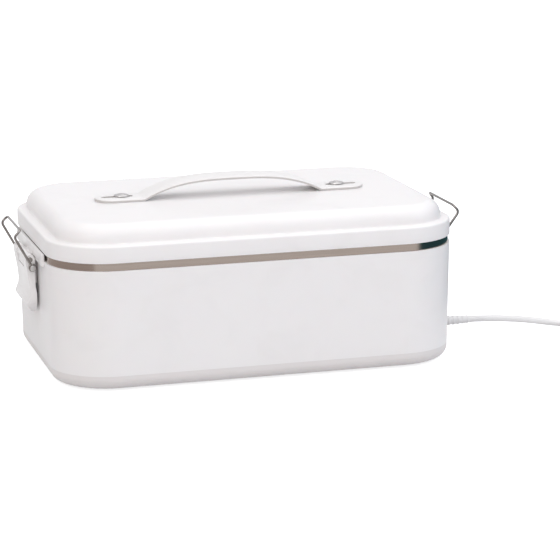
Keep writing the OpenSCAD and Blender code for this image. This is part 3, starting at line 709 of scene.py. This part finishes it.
def lathe_part(name: str, profile: Profile, steps: int) -> Object:
    """A small turned part round z that a tree sets in many places; it isn't in the scene itself.

    Args:
        name: Its name.
        profile: Radius and height from the bottom's centre to the top's centre.
        steps: Faces round it.

    Returns:
        The object, which the caller removes.
    """
    verts = [(radius * c, radius * s, height) for radius, height in profile for c, s in circle(steps)]
    faces = []
    for row in range(len(profile) - 1):
        for k in range(steps):
            a, b = row * steps + k, row * steps + (k + 1) % steps
            faces.append((a, b, b + steps, a + steps))
    return bpy.data.objects.new(name, mesh_of(name, verts, faces, SHARP_PART))


def set_parts(name: str, part: Object, spots: Sequence[tuple[Point, Point, float]], finish: Finish) -> Mesh:
    """Sets a small part in several places with the placing tree.

    Args:
        name: The resulting mesh's name.
        part: The part, which is removed afterwards.
        spots: Place in millimetres, turn in degrees and scale of each.
        finish: What the parts wear.

    Returns:
        One mesh of all of them.
    """
    points = bpy.data.meshes.new(name + "_spots")
    points.from_pydata([[c * MM for c in place] for place, _, _ in spots], [], [])
    turn = points.attributes.new("turn", "FLOAT_VECTOR", "POINT")
    turn.data.foreach_set("vector", [math.radians(c) for _, angles, _ in spots for c in angles])
    grow = points.attributes.new("grow", "FLOAT", "POINT")
    grow.data.foreach_set("value", [scale for _, _, scale in spots])
    mesh = placed_tree().use(points, name, Part=part, Material=finish.build())
    bpy.data.objects.remove(part)
    tidy(mesh, SHARP_PART, recalc=False, merge=MERGE_FINE)
    return mesh


def curve_of(name: str, paths: Sequence[tuple[Sequence[Point], bool]]) -> Curve:
    """A curve with a poly spline for each path.

    Args:
        name: Its name.
        paths: Points in millimetres, and whether the path is closed.

    Returns:
        The curve.
    """
    curve = bpy.data.curves.new(name, "CURVE")
    curve.dimensions = "3D"
    for points, closed in paths:
        spline = curve.splines.new("POLY")
        spline.points.add(len(points) - 1)
        for spot, p in zip(spline.points, points):
            spot.co = (p[0] * MM, p[1] * MM, p[2] * MM, 1.0)
        spline.use_cyclic_u = closed
    return curve


def smooth_route(points: Sequence[Point], parts: int) -> list[Point]:
    """A smooth curve through the points, split into parts between each two.

    Args:
        points: What it passes through.
        parts: Points for each stretch.

    Returns:
        The finer points.
    """
    p = [Vector(q) for q in points]
    p = [2 * p[0] - p[1]] + p + [2 * p[-1] - p[-2]]
    out: list[Point] = []
    for a, b, c, d in zip(p, p[1:], p[2:], p[3:]):
        for k in range(parts):
            t = k / parts
            q = 2 * b + (c - a) * t + (2 * a - 5 * b + 4 * c - d) * t * t
            q += (3 * b - a - 3 * c + d) * t ** 3
            out.append(tuple(0.5 * q))
    out.append(tuple(p[-2]))
    return out


# ---- Lead ----


# A strain relief's rib: radius and height, as shares of its own
RIB_SHAPE: Profile = [(0, 0), (0.86, 0), (0.97, 0.12), (1.0, 0.35),
                      (1.0, 0.65), (0.97, 0.88), (0.86, 1), (0, 1)]
# Faces round a strain relief
RELIEF_STEPS = 28


@dataclass
class MainsLead:
    """The lead: connector, strain reliefs, cord with its stored coil, tie and plug.

    Attributes:
        y: Where the inlet lies.
        z: Height of the inlet's middle.
        d: Diameter of the cord.
        relief_x: Where the inlet's strain relief starts and ends.
        relief_d: Its diameters at both ends.
        plug_relief_l: Length of the plug's strain relief.
        plug_relief_d: Its diameters at both ends.
        ribs: How many ribs a strain relief has.
        rib_share: How much of a relief's length the ribs take.
        coil: Middle of the coil, and its outer radius at the cord's middle.
        lift: Height of the coil's lower layer at the cord's middle.
        pitch: Distance between turns and layers.
        turns: Number of turns.
        rings: Points in a turn.
        tail: Where the cord enters the plug's relief.
        droop: Distance along the box and height of the cord's first stretch.
        sweep: The last stretch, from the coil to the plug.
    """

    y: float = -12.0
    z: float = 10.0
    d: float = 4.0
    relief_x: Pair = (127.0, 147.0)
    relief_d: Pair = (6.4, 4.8)
    plug_relief_l: float = 20.0
    plug_relief_d: Pair = (8.4, 5.0)
    ribs: int = 7
    rib_share: float = 0.56
    coil: Point = (242.0, -43.8, 31.8)
    lift: float = 2.8
    pitch: float = 4.5
    turns: int = 7
    rings: int = 24
    tail: Point = (275.0, 24.0, 6.85)
    droop: tuple[Pair, ...] = (
        (152.0, 9.9), (158.0, 9.6), (164.0, 9.2), (170.0, 8.7), (176.0, 8.0), (182.0, 7.2), (188.0, 6.3),
        (194.0, 5.2), (200.0, 4.1), (206.0, 3.1), (212.0, 2.3), (219.0, 2.0), (226.0, 2.0), (232.0, 2.4))
    sweep: tuple[Point, ...] = (
        (252.0, -11.6, 7.3), (258.0, -9.8, 6.9), (263.5, -6.6, 6.4), (268.5, -2.0, 6.0), (272.2, 4.0, 5.9),
        (274.3, 11.0, 6.3), (275.0, 18.0, 6.75))

    def winding(self) -> list[Point]:
        """The coil: turns inwards in the lower layer, a climb, and turns outwards in the upper layer.

        Returns:
            The points, in millimetres.
        """
        cx, cy, r0 = self.coil
        half = self.turns / 2
        points = []
        for i in range(self.rings * self.turns + 1):
            t = i / self.rings
            r = r0 - self.pitch * (t if t < half else self.turns - t)
            climb = min(1.0, max(0.0, (t - half + 0.25) / 0.5))
            z = self.lift + self.pitch * (3 - 2 * climb) * climb * climb
            a = math.radians(90 - 360 * t)
            points.append((cx + r * math.cos(a), cy + r * math.sin(a), z))
        return points

    def route(self) -> list[Point]:
        """The cord's middle line from the connector's relief to the plug's, as the construction lays it.

        Returns:
            The points, in millimetres.
        """
        cx = self.coil[0]
        start = [(self.relief_x[1], self.y, self.z)]
        start += [(x, self.y, z) for x, z in self.droop]
        start.append((cx - self.d, self.y, self.lift))
        end = [(cx + self.d, self.y, self.lift + self.pitch), *self.sweep, self.tail]
        path = smooth_route(start, 2) + self.winding() + smooth_route(end, 3)
        return [(x, y, max(z, self.d / 2)) for x, y, z in path]

    def cord(self) -> tuple[Object, list[Point]]:
        """The whole cord as one smooth tube.

        Returns:
            The piece and its route.
        """
        path = self.route()
        curve = curve_of("lead_line", [(path, False)])
        mesh = wire_tree().use(curve, "lead_flex", Radius=self.d / 2 * MM, Sides=16, Material=LEAD.build())
        tidy(mesh, SHARP_TUBE)
        flex = new_piece("lead_flex", mesh, "lead", LEAD, ["lead_cord", "lead_coil", "lead_tail"])
        return flex, path

    def relief(self, name: str, start: Point, axis: Point, length: float, ends: Pair, node: str) -> Object:
        """A tapered strain relief with ribs that grow smaller along it.

        Args:
            name: The piece's name.
            start: Its wide end's middle.
            axis: Direction from the wide end to the narrow end.
            length: Its length.
            ends: Diameters at the wide end and at the narrow end.
            node: The solid that it stands for.

        Returns:
            The piece.
        """
        wide, narrow = ends[0] / 2, ends[1] / 2
        turn = Vector((0, 0, 1)).rotation_difference(Vector(axis)).to_matrix().to_4x4()
        cone = [(wide - 0.5, 0), (wide - 0.5, 0.6), (narrow - 0.1, length - 0.4), (narrow - 0.4, length)]
        core = lathe_part(name + "_core", [(0, 0), *cone, (0, length)], RELIEF_STEPS)
        core_mesh = core.data
        bpy.data.objects.remove(core)
        core_mesh.transform(turn)
        core_mesh.transform(Matrix.Translation(Vector(start) * MM))
        rib_w = length / self.ribs * self.rib_share
        rib = lathe_part(name + "_rib", [(r, h * rib_w) for r, h in RIB_SHAPE], RELIEF_STEPS)
        for vertex in rib.data.vertices:
            vertex.co.z /= wide
        angles = tuple(math.degrees(a) for a in turn.to_euler())
        spots = []
        for i in range(self.ribs):
            t = i / (self.ribs - 0.45)
            place = Vector(start) + Vector(axis) * (length * t)
            spots.append((tuple(place), angles, wide + (narrow - wide) * t))
        mesh = set_parts(name, rib, spots, LEAD)
        join((core_mesh, mesh), mesh)
        tidy(mesh, SHARP_PART, recalc=False, merge=MERGE_FINE)
        return new_piece(name, mesh, "lead", LEAD, [node])

    def build(self) -> None:
        flex, path = self.cord()
        start, stop = self.relief_x
        relief = self.relief("lead_strain_relief", (start, self.y, self.z), (1, 0, 0), stop - start,
                             self.relief_d, "lead_relief")
        root = (self.tail[0], self.tail[1] + self.plug_relief_l, self.tail[2])
        plug_end = self.relief("plug_strain_relief", root, (0, -1, 0), self.plug_relief_l, self.plug_relief_d,
                               "plug_relief")
        body, pins, tie, joint = (soft_piece(name, node, "lead", *look) for name, node, *look in (
            ("lead_plug_body", "mains_plug", LEAD, "lead_plastic", Rounding(2.2, 5, 25.0)),
            ("lead_plug_pins", "plug_pins", PIN, "pin_metal", Rounding(0.8)),
            ("coil_strap", "coil_tie", SILICONE, "silicone", Rounding(0.25)),
            ("lead_coupler", "lead_connector", LEAD, "lead_plastic", Rounding(0.9, 4, 30.0))))


# ---- Strap handle ----


@dataclass
class StrapHandle:
    """The moulded strap with its grip and sliding ends, made as two halves from the middle to each tip, with
    its rivets.

    Attributes:
        tip: Distance of a tip from the middle.
        width: Width of the strap.
        thick: Thickness of the strap.
        arch_half: Half the width of the arch.
        arch_h: Height of the arch's underside above the lid.
        rivet_x: Distance of a rivet from the middle.
        rivet_gap: Height of a rivet's head above the strap.
        slot: First and last place of the slot, from the middle.
        slot_w: Width of the slot.
        edge: Rounding of the strap's edges.
        crown: How much lower the strap's edges are than its middle.
        lid_top: Height of the lid that it lies on.
        bends: Where a half starts and stops bending, from the middle; not used.
        spans: Stretches between the middle and a tip's arc.
    """

    tip: float = 82.0
    width: float = 20.0
    thick: float = 2.0
    arch_half: float = 54.0
    arch_h: float = 9.9
    rivet_x: float = 66.0
    rivet_gap: float = 0.1
    slot: Pair = (59.0, 78.0)
    slot_w: float = 4.1
    edge: float = 0.8
    crown: float = 0.25
    lid_top: float = BOX.lid_top
    bends: Pair = (58.0, 20.0)
    spans: int = 48

    def lift(self, x: float) -> float:
        """Height of the strap's underside above the lid at x."""
        return self.arch_h * (1 - min(1.0, abs(x) / self.arch_half) ** 3)

    def stations(self) -> list[Pair]:
        """Places along the strap from the middle to the tip, with the angle round the tip's arc or -1.

        Returns:
            Pairs of x and angle.
        """
        root, s, first = self.tip - self.width / 2, self.slot_w / 2, self.slot[0]
        plain = [i * root / self.spans for i in range(self.spans + 1)]
        round_slot = [first + s * (1 - math.cos(math.radians(a))) for a in (0, 25, 50, 70, 90)]
        straight = {round(x, 4) for x in plain if abs(x - first - s / 2) > s}
        straight |= {round(x, 4) for x in round_slot}
        return [(x, -1.0) for x in sorted(straight)] + [(root, float(a)) for a in range(84, -1, -6)]

    def slot_half(self, x: float) -> float:
        """Half the slot's width at a place.

        Args:
            x: The place, from the middle.

        Returns:
            The half width, 0 outside the slot.
        """
        s = self.slot_w / 2
        a, b = self.slot
        if x <= a or x >= b:
            return 0.0
        d = min(x - a, b - x)
        return s if d >= s else math.sqrt(max(0.0, s * s - (s - d) ** 2))

    def half(self, side: int) -> Mesh:
        """One half of the strap, from the middle to its tip.

        Args:
            side: 1 for the right half, -1 for the left half.

        Returns:
            The mesh.
        """
        r, e, tiny = self.width / 2, self.edge, 1e-6
        turns = [math.radians(a) for a in (0, 30, 60, 90)]
        quarter = [(e - e * math.sin(a), e * math.cos(a)) for a in turns]
        layers = [(inset, self.thick - e + rise) for inset, rise in quarter]
        layers += [(inset, e - rise) for inset, rise in reversed(quarter)]
        last = len(layers) - 1
        rows = self.stations()
        verts: list[Point] = []
        index: dict[tuple, int] = {}

        def point(key: tuple, x: float, y: float, z: float, top: bool) -> int:
            """Adds a point once and returns its number."""
            if key not in index:
                index[key] = len(verts)
                swell = -self.crown * (y / r) ** 2 if top else 0.0
                verts.append((side * x, y, self.lid_top + self.lift(x) + z + swell))
            return index[key]

        def outer(row: int, layer: int, s: int) -> int:
            """Point on the outline at a station, a layer and a side."""
            x, a = rows[row]
            inset, z = layers[layer]
            y = r - inset
            if a >= 0:
                x, y = x + y * math.cos(math.radians(a)), y * math.sin(math.radians(a))
            if y < tiny:
                return point(("mid", row, layer), x, 0.0, z, layer == 0)
            return point(("out", row, layer, s), x, s * y, z, layer < 3)

        def inner(row: int, layer: int, s: int) -> int:
            """Point on the middle line or on the slot's edge."""
            x, a = rows[row]
            inset, z = layers[layer]
            if a == 0:
                return outer(row, layer, s)
            if a > 0:
                x += (r - inset) * math.cos(math.radians(a))
            h = self.slot_half(x)
            if h > tiny:
                return point(("slot", row, layer, s), x, s * h, z, layer == 0)
            return point(("in", row, layer), x, 0.0, z, layer == 0)

        def between(row: int, layer: int, s: int, a: int, b: int) -> int:
            """Point halfway between two others of a row and a layer."""
            x, y = (verts[a][0] + verts[b][0]) / 2, (verts[a][1] + verts[b][1]) / 2
            return point(("m", row, layer, s), side * x, y, layers[layer][1], layer == 0)

        faces: list[list[int]] = []
        for i in range(len(rows) - 1):
            for s in (1, -1):
                for k in range(last):
                    faces.append([outer(i, k, s), outer(i + 1, k, s),
                                  outer(i + 1, k + 1, s), outer(i, k + 1, s)])
                for k in (0, last):
                    a, b = outer(i, k, s), outer(i + 1, k, s)
                    c, d = inner(i + 1, k, s), inner(i, k, s)
                    near, far = between(i, k, s, a, d), between(i + 1, k, s, b, c)
                    faces += [[a, b, far, near], [near, far, c, d]]
                top_a, top_b = inner(i, 0, s), inner(i + 1, 0, s)
                low_a, low_b = inner(i, last, s), inner(i + 1, last, s)
                if abs(verts[top_a][1]) > tiny or abs(verts[top_b][1]) > tiny:
                    faces.append([top_a, top_b, low_b, low_a])
        cut = [outer(0, k, 1) for k in range(last + 1)]
        cut += [index["m", 0, last, 1], inner(0, last, 1), index["m", 0, last, -1]]
        cut += [outer(0, k, -1) for k in range(last, -1, -1)]
        cut += [index["m", 0, 0, -1], inner(0, 0, 1), index["m", 0, 0, 1]]
        rings = [[v for n, v in enumerate(face) if v != face[n - 1]] for face in faces + [cut]]
        return mesh_of("strap_half", verts, [ring for ring in rings if len(set(ring)) > 2], 42.0)

    def rivets(self) -> None:
        """Turned rivets with a domed head and a pressed ring, set by the placing tree."""
        top = self.lid_top + self.thick + self.rivet_gap
        foot_z, neck_z, shank, foot_r = -6.3, -5.3, 1.8, 2.7
        stem = [(0, foot_z), (foot_r, foot_z), (foot_r, neck_z), (shank, neck_z), (shank, -0.001)]
        rim = [(4.1, 0.0), (4.42, 0.12), (4.5, 0.4), (4.42, 0.72), (4.1, 0.98), (3.5, 1.12)]
        dome = [(3.2, 1.06), (3.0, 1.1), (2.2, 1.5), (1.1, 1.72), (0, 1.78)]
        head = lathe_part("rivet", stem + rim + dome, 40)
        spots = [((s * self.rivet_x, 0.0, top), (0, 0, 0), 1.0) for s in (-1, 1)]
        mesh = set_parts("strap_rivets", head, spots, RIVET)
        new_piece("strap_rivets", mesh, "lid", RIVET, ["handle_rivets"])

    def build(self) -> None:
        """Makes both halves, unattached to any body, and the rivets."""
        for side, word in ((-1, "left"), (1, "right")):
            half = new_piece(f"strap_{word}_half", self.half(side), "", STRAP,
                             [f"strap_{word}_end", f"strap_{word}_flex", "strap_grip"])
            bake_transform(half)
        self.rivets()


# ---- Latches ----


@dataclass
class DrawLatch:
    """A lever with a wire bail at one end of the box.

    Attributes:
        side: -1 for the left end, 1 for the right end.
        lean: How much further out than the construction's left bail it stands, in degrees.
        wire: Diameter of the bail's wire.
        pin_out: Distance of the bail's pins from the end face.
        pin_z: Their height.
        leg_y: Distance of a leg from the middle.
        bar: Distance out and height of the bar.
        bend: Distance out and height of the bend in the legs.
        bend_r: Radius of the wire's bends.
        eye_r: Radius of an eye's wire, and of its ring at the wire's middle.
    """

    side: int
    lean: float = 0.0
    wire: float = 1.5
    pin_out: float = 3.6
    pin_z: float = 62.6
    leg_y: float = 22.65
    bar: Pair = (10.0, 84.91)
    bend: Pair = (13.7, 81.41)
    bend_r: float = 2.6
    eye_r: Pair = (0.56, 1.75)

    @property
    def word(self) -> str:
        """The side in words."""
        return "left" if self.side < 0 else "right"

    def spot(self, out: float, z: float) -> Vector:
        """A place on the near leg of the bail, leaned out about its pins.

        Args:
            out: Distance out from the end face.
            z: Height.

        Returns:
            The place.
        """
        turn = Matrix.Rotation(math.radians(-self.lean), 2)
        reach, rise = turn @ Vector((out - self.pin_out, z - self.pin_z))
        return Vector((self.side * (BOX.end_x + self.pin_out + reach), self.leg_y, self.pin_z + rise))

    def corner(self, at: Vector, u: Vector, v: Vector, steps: int = 8) -> list[Vector]:
        """Points round a bend of the wire.

        Args:
            at: The corner.
            u: Direction in.
            v: Direction out.
            steps: Steps in the bend.

        Returns:
            The points.
        """
        turn = math.acos(max(-1.0, min(1.0, u.dot(v))))
        start = at - u * (self.bend_r * math.tan(turn / 2))
        inward = (v - u.dot(v) * u).normalized()
        angles = [turn * i / steps for i in range(steps + 1)]
        return [start + self.bend_r * (math.sin(a) * u + (1 - math.cos(a)) * inward) for a in angles]

    def bail(self) -> None:
        """The wire bail, with an eye wound round its pin at each side."""
        wire_r, ring_r = self.eye_r
        pin, bend, bar = self.spot(self.pin_out, self.pin_z), self.spot(*self.bend), self.spot(*self.bar)
        leg, nose = (bend - pin).normalized(), (bar - bend).normalized()
        half = [pin + ring_r * leg] + self.corner(bend, leg, nose)
        half += self.corner(bar, nose, Vector((0, -1, 0)))
        path = half + [Vector((p.x, -p.y, p.z)) for p in reversed(half)]
        rings = [([(pin.x + ring_r * c, s * self.leg_y, pin.z + ring_r * h) for c, h in circle(28)], True)
                 for s in (-1, 1)]
        line, loops = curve_of("bail_line", [([tuple(p) for p in path], False)]), curve_of("eye_line", rings)
        worn = WIRE.build()
        mesh = wire_tree().use(line, f"{self.word}_wire", Radius=self.wire / 2 * MM, Sides=14, Material=worn)
        eyes = wire_tree().use(loops, "eyes", Radius=wire_r * MM, Sides=12, Material=worn)
        join((mesh, eyes), mesh)
        tidy(mesh, SHARP_TUBE, merge=MERGE_FINE)
        bail = f"{self.word}_bail"
        new_piece(f"{self.word}_wire_bail", mesh, bail, WIRE, [bail])

    def build(self) -> None:
        """Makes the latch's pieces."""
        w = self.word
        self.bail()
        for name, node, *look in (
                ("latch_lever", "lever", f"{w}_lever", LATCH, "latch_plastic", Rounding(0.55, 4, 24.0)),
                ("latch_bracket", "bracket", "base", LATCH, "housing_plastic", Rounding(0.4, 3, 30.0)),
                ("bail_rivets", "bail_pins", f"{w}_bail_pins", RIVET, "spring_steel", Rounding(0.3))):
            soft_piece(f"{w}_{name}", f"{w}_{node}", *look)


# ---- Lid ----


@dataclass
class DomedLid:
    """The lid: a flange, a ledge and a dome with a broad rounded edge.

    Attributes:
        out: Distance of the flange's face from the corner's centre.
        wall: Thickness of its wall.
        ledge: Width of the ledge.
        lip_round: Rounding of the flange's lower edge.
        flange_round: Rounding of the flange's upper edge.
        fillet: Rounding where the dome meets the ledge.
        dome_round: Rounding of the dome's upper edge.
        hub: How near to the corner's centre the sweep reaches; a flat face closes the rest.
    """

    out: float = 35.1
    wall: float = 2.2
    ledge: float = 4.8
    lip_round: float = 0.35
    flange_round: float = 1.3
    fillet: float = 0.9
    dome_round: float = 8.6
    hub: float = 9.0

    def sweep(self, section: Profile) -> Mesh:
        """Sweeps an open section round the box and closes what stays open across its middle.

        Args:
            section: Distance from the corner's centre, and height, in millimetres.

        Returns:
            The mesh.
        """
        base = BOX.corner_r
        line = bpy.data.meshes.new("lid_cover_profile")
        edges = [(i, i + 1) for i in range(len(section) - 1)]
        line.from_pydata([((u - base) * MM, -z * MM, 0) for u, z in section], edges, [])
        mesh = round_sweep_tree().use(
            line, "lid_cover", Length=2 * (BOX.half_x + base) * MM, Width=2 * (BOX.half_y + base) * MM,
            Corner=base * MM, Corner_Steps=24, Material=HOUSING.build())
        bm = bmesh.new()
        bm.from_mesh(mesh)
        bmesh.ops.remove_doubles(bm, verts=bm.verts, dist=MERGE)
        bmesh.ops.holes_fill(bm, edges=[e for e in bm.edges if len(e.link_faces) == 1], sides=0)
        bm.to_mesh(mesh)
        bm.free()
        tidy(mesh, 34.0)
        return mesh

    def build(self) -> None:
        """Sweeps the lid's section and closes its top and its underside."""
        low, ledge_z, top = BOX.rim_top, BOX.flange_top, BOX.lid_top
        lip, brow, dome = self.lip_round, self.flange_round, self.dome_round
        foot, inner = self.out - self.ledge, self.out - self.wall
        c = foot - self.fillet - dome
        outside: Profile = [(inner, low), (self.out - lip, low)]
        outside += arc(self.out - lip, low + lip, lip, -90, 0, 3)[1:]
        outside += [(self.out, low + 3.0)] + arc(self.out - brow, ledge_z - brow, brow, 0, 90, 6)
        outside += arc(foot, ledge_z + self.fillet, self.fillet, 270, 180, 5)
        outside += arc(c, top - dome, dome, 0, 90, 18)
        outside += [(c - 3.0, top), (self.hub, top)]
        under = [(self.hub, top - self.wall), (c, top - self.wall)]
        under += arc(c, top - dome, dome - self.wall, 90, 0, 10)[1:]
        under += [(c + dome - self.wall, ledge_z - self.wall), (inner, ledge_z - self.wall)]
        mesh = self.sweep(outside[::-1] + under[::-1])
        new_piece("lid_cover", mesh, "lid", HOUSING, ["lid_shell"])


# ---- Studio ----


@dataclass
class Studio:
    """The camera, floor, backdrop, mirror cards and lamps.

    Attributes:
        lens: Focal length on a sensor 36 mm wide.
        place: Where the camera stands, in metres.
        back: Direction from the target to the camera.
        roll: Turn of the picture, in degrees.
        white: Strength of the backdrop that the camera sees.
        glow: How much the floor shines towards the camera by itself.
        sky: Strength of the even light.
        mirrored: Strength of the surroundings that mirror in the object.
        target: What the lamps point at.
        card_h: Height of the mirror cards.
        floor_half: Half the floor's width, in metres.
        floor_z: Its height, just under the feet.
    """

    lens: float = 149.80
    place: Point = (-0.34035, -1.32022, 0.35008)
    back: Point = (-0.26368, -0.93906, 0.22056)
    roll: float = -0.463
    white: float = 1.0
    glow: float = 0.76
    sky: float = 0.42
    mirrored: float = 0.92
    target: Point = (0.0, 0.0, 0.05)
    card_h: float = 0.16
    floor_half: float = 6.0
    floor_z: float = -0.0002

    def camera(self) -> None:
        """Makes the camera from its place, its direction and its roll."""
        data = bpy.data.cameras.new("camera")
        data.lens, data.sensor_width = self.lens, 36.0
        data.clip_start, data.clip_end = 0.05, 30.0
        cam = in_scene("camera", data)
        back = Vector(self.back).normalized()
        right = (-back).cross(Vector((0, 0, 1))).normalized()
        up = right.cross(-back).normalized()
        r = math.radians(self.roll)
        across = math.cos(r) * right + math.sin(r) * up
        upward = -math.sin(r) * right + math.cos(r) * up
        m = Matrix((across, upward, back)).transposed().to_4x4()
        m.translation = Vector(self.place)
        cam.matrix_world = m
        bpy.context.scene.camera = cam

    @staticmethod
    def light(n: NodeSet, kind: str, colour: Colour, strength: float) -> Node:
        """Adds an emission or background of a linear colour."""
        return n.add(kind, {"Color": (*colour, 1.0), "Strength": strength})

    @staticmethod
    def ray_kinds(n: NodeSet) -> tuple[Node, NodeSocket]:
        """Tells rays apart.

        Args:
            n: The node set.

        Returns:
            Whether a ray comes from the camera or through a clear piece, and whether it was mirrored.
        """
        rays = n.add("ShaderNodeLightPath").outputs
        return n.math("MAXIMUM", rays["Is Camera Ray"], rays["Is Transmission Ray"]), rays["Is Glossy Ray"]

    def floor(self) -> None:
        """Lays a pale floor that keeps the shadow and shows white to the camera where it is fully lit."""
        s = self.floor_half
        mesh = bpy.data.meshes.new("floor")
        mesh.from_pydata([(-s, -s, 0), (s, -s, 0), (s, s, 0), (-s, s, 0)], [], [(0, 1, 2, 3)])
        floor = in_scene("floor", mesh)
        floor.location.z = self.floor_z
        mat, n = fresh_material("floor_paper")
        paper = n.add("ShaderNodeBsdfDiffuse", {"Color": (0.68, 0.68, 0.69, 1.0)})
        glow = self.light(n, "ShaderNodeEmission", (1.0, 1.0, 1.0), self.glow)
        both = n.add("ShaderNodeAddShader", {0: paper, 1: glow})
        sheet = self.light(n, "ShaderNodeEmission", (1.0, 1.0, 1.0), self.white)
        seen, mirrored = self.ray_kinds(n)
        near = n.mix_shader(seen, paper, both)
        n.add("ShaderNodeOutputMaterial", {"Surface": n.mix_shader(mirrored, near, sheet)})
        mesh.materials.append(mat)

    def card(self, name: str, near: Pair, far: Pair, tone: Colour) -> None:
        """Stands a card beside the box that only mirrors in its steel, as the room in the photograph does.

        Args:
            name: The card's name.
            near: Where its nearer end stands, in metres.
            far: Where its further end stands.
            tone: Its colour.
        """
        mesh = bpy.data.meshes.new(name)
        corners = [(*near, 0.0), (*far, 0.0), (*far, self.card_h), (*near, self.card_h)]
        mesh.from_pydata(corners, [], [(0, 1, 2, 3)])
        mat, n = fresh_material(name)
        flat = self.light(n, "ShaderNodeEmission", linear(tone)[:3], 1.0)
        where = n.add("ShaderNodeTexCoord").outputs["Generated"]
        along = n.add("ShaderNodeSeparateXYZ", {"Vector": where}).outputs
        off = n.math("ABSOLUTE", n.math("SUBTRACT", along["Y"], 0.5))
        fade = n.math("MAXIMUM", n.ramp(off, 0.38, 0.5), n.ramp(along["Z"], 0.55, 1.0))
        clear = n.add("ShaderNodeBsdfTransparent")
        n.add("ShaderNodeOutputMaterial", {"Surface": n.mix_shader(fade, flat, clear)})
        mesh.materials.append(mat)
        card = in_scene(name, mesh)
        for kind in ("camera", "diffuse", "shadow", "transmission"):
            setattr(card, f"visible_{kind}", False)

    def world(self) -> None:
        """Gives a dim even sky for the light and a white one for the camera."""
        world = bpy.data.worlds.new("backdrop")
        bpy.context.scene.world = world
        world.use_nodes = True
        world.node_tree.nodes.clear()
        n = NodeSet(world.node_tree)
        seen, mirrored = self.ray_kinds(n)
        dim = self.light(n, "ShaderNodeBackground", (0.96, 0.97, 1.0), self.sky)
        white = self.light(n, "ShaderNodeBackground", (1.0, 1.0, 1.0), self.white)
        glossy = self.light(n, "ShaderNodeBackground", (0.97, 0.97, 1.0), self.mirrored)
        first = n.mix_shader(mirrored, dim, glossy)
        n.add("ShaderNodeOutputWorld", {"Surface": n.mix_shader(seen, first, white)})

    def lamp(self, name: str, place: Point, size: Pair, power: float, tone: Colour) -> None:
        """Hangs a soft rectangular lamp.

        Args:
            name: The lamp's name.
            place: Where it hangs, in metres.
            size: Its width and height.
            power: Its power in watts.
            tone: Its colour.
        """
        data = bpy.data.lights.new(name, "AREA")
        data.shape = "RECTANGLE"
        data.size, data.size_y = size
        data.energy = power
        data.color = tone
        lamp = in_scene(name, data)
        lamp.location = place
        lamp.rotation_mode = "QUATERNION"
        lamp.rotation_quaternion = (Vector(self.target) - Vector(place)).to_track_quat("-Z", "Y")

    def build(self) -> None:
        """Sets up the whole studio."""
        self.floor()
        self.world()
        self.lamp("overhead", (0.1, -0.2, 1.6), (3.2, 2.6), 31.0, (0.99, 0.995, 1.0))
        self.lamp("front_left", (-1.3, -1.5, 0.8), (1.2, 1.2), 10.8, (1.0, 0.967, 0.930))
        self.lamp("front_right", (1.6, -1.0, 0.7), (0.9, 1.1), 8.5, (0.81, 0.88, 1.0))
        self.card("right_card", (0.20, -0.23), (0.20, 0.25), (0.20, 0.34, 0.37))
        self.card("left_card", (-0.22, -0.28), (-0.20, 0.20), (0.82, 0.79, 0.78))
        bpy.context.scene.view_settings.view_transform = "Standard"


# ---- Main ----


def dress_cad() -> None:
    """Gives every piece of the construction its finish."""
    for name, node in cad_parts.items():
        node.data.materials.clear()
        node.data.materials.append(DRESS[name].build())


def main() -> None:
    """Builds the studio and the object, and reports each piece."""
    studio = Studio()
    studio.camera()
    MainsLead().build()
    studio.build()
    dress_cad()
    StrapHandle().build()
    DomedLid().build()
    DrawLatch(-1).build()
    DrawLatch(1, lean=8.0).build()


if __name__ == "__main__":
    logging.basicConfig(level=logging.INFO)
    main()
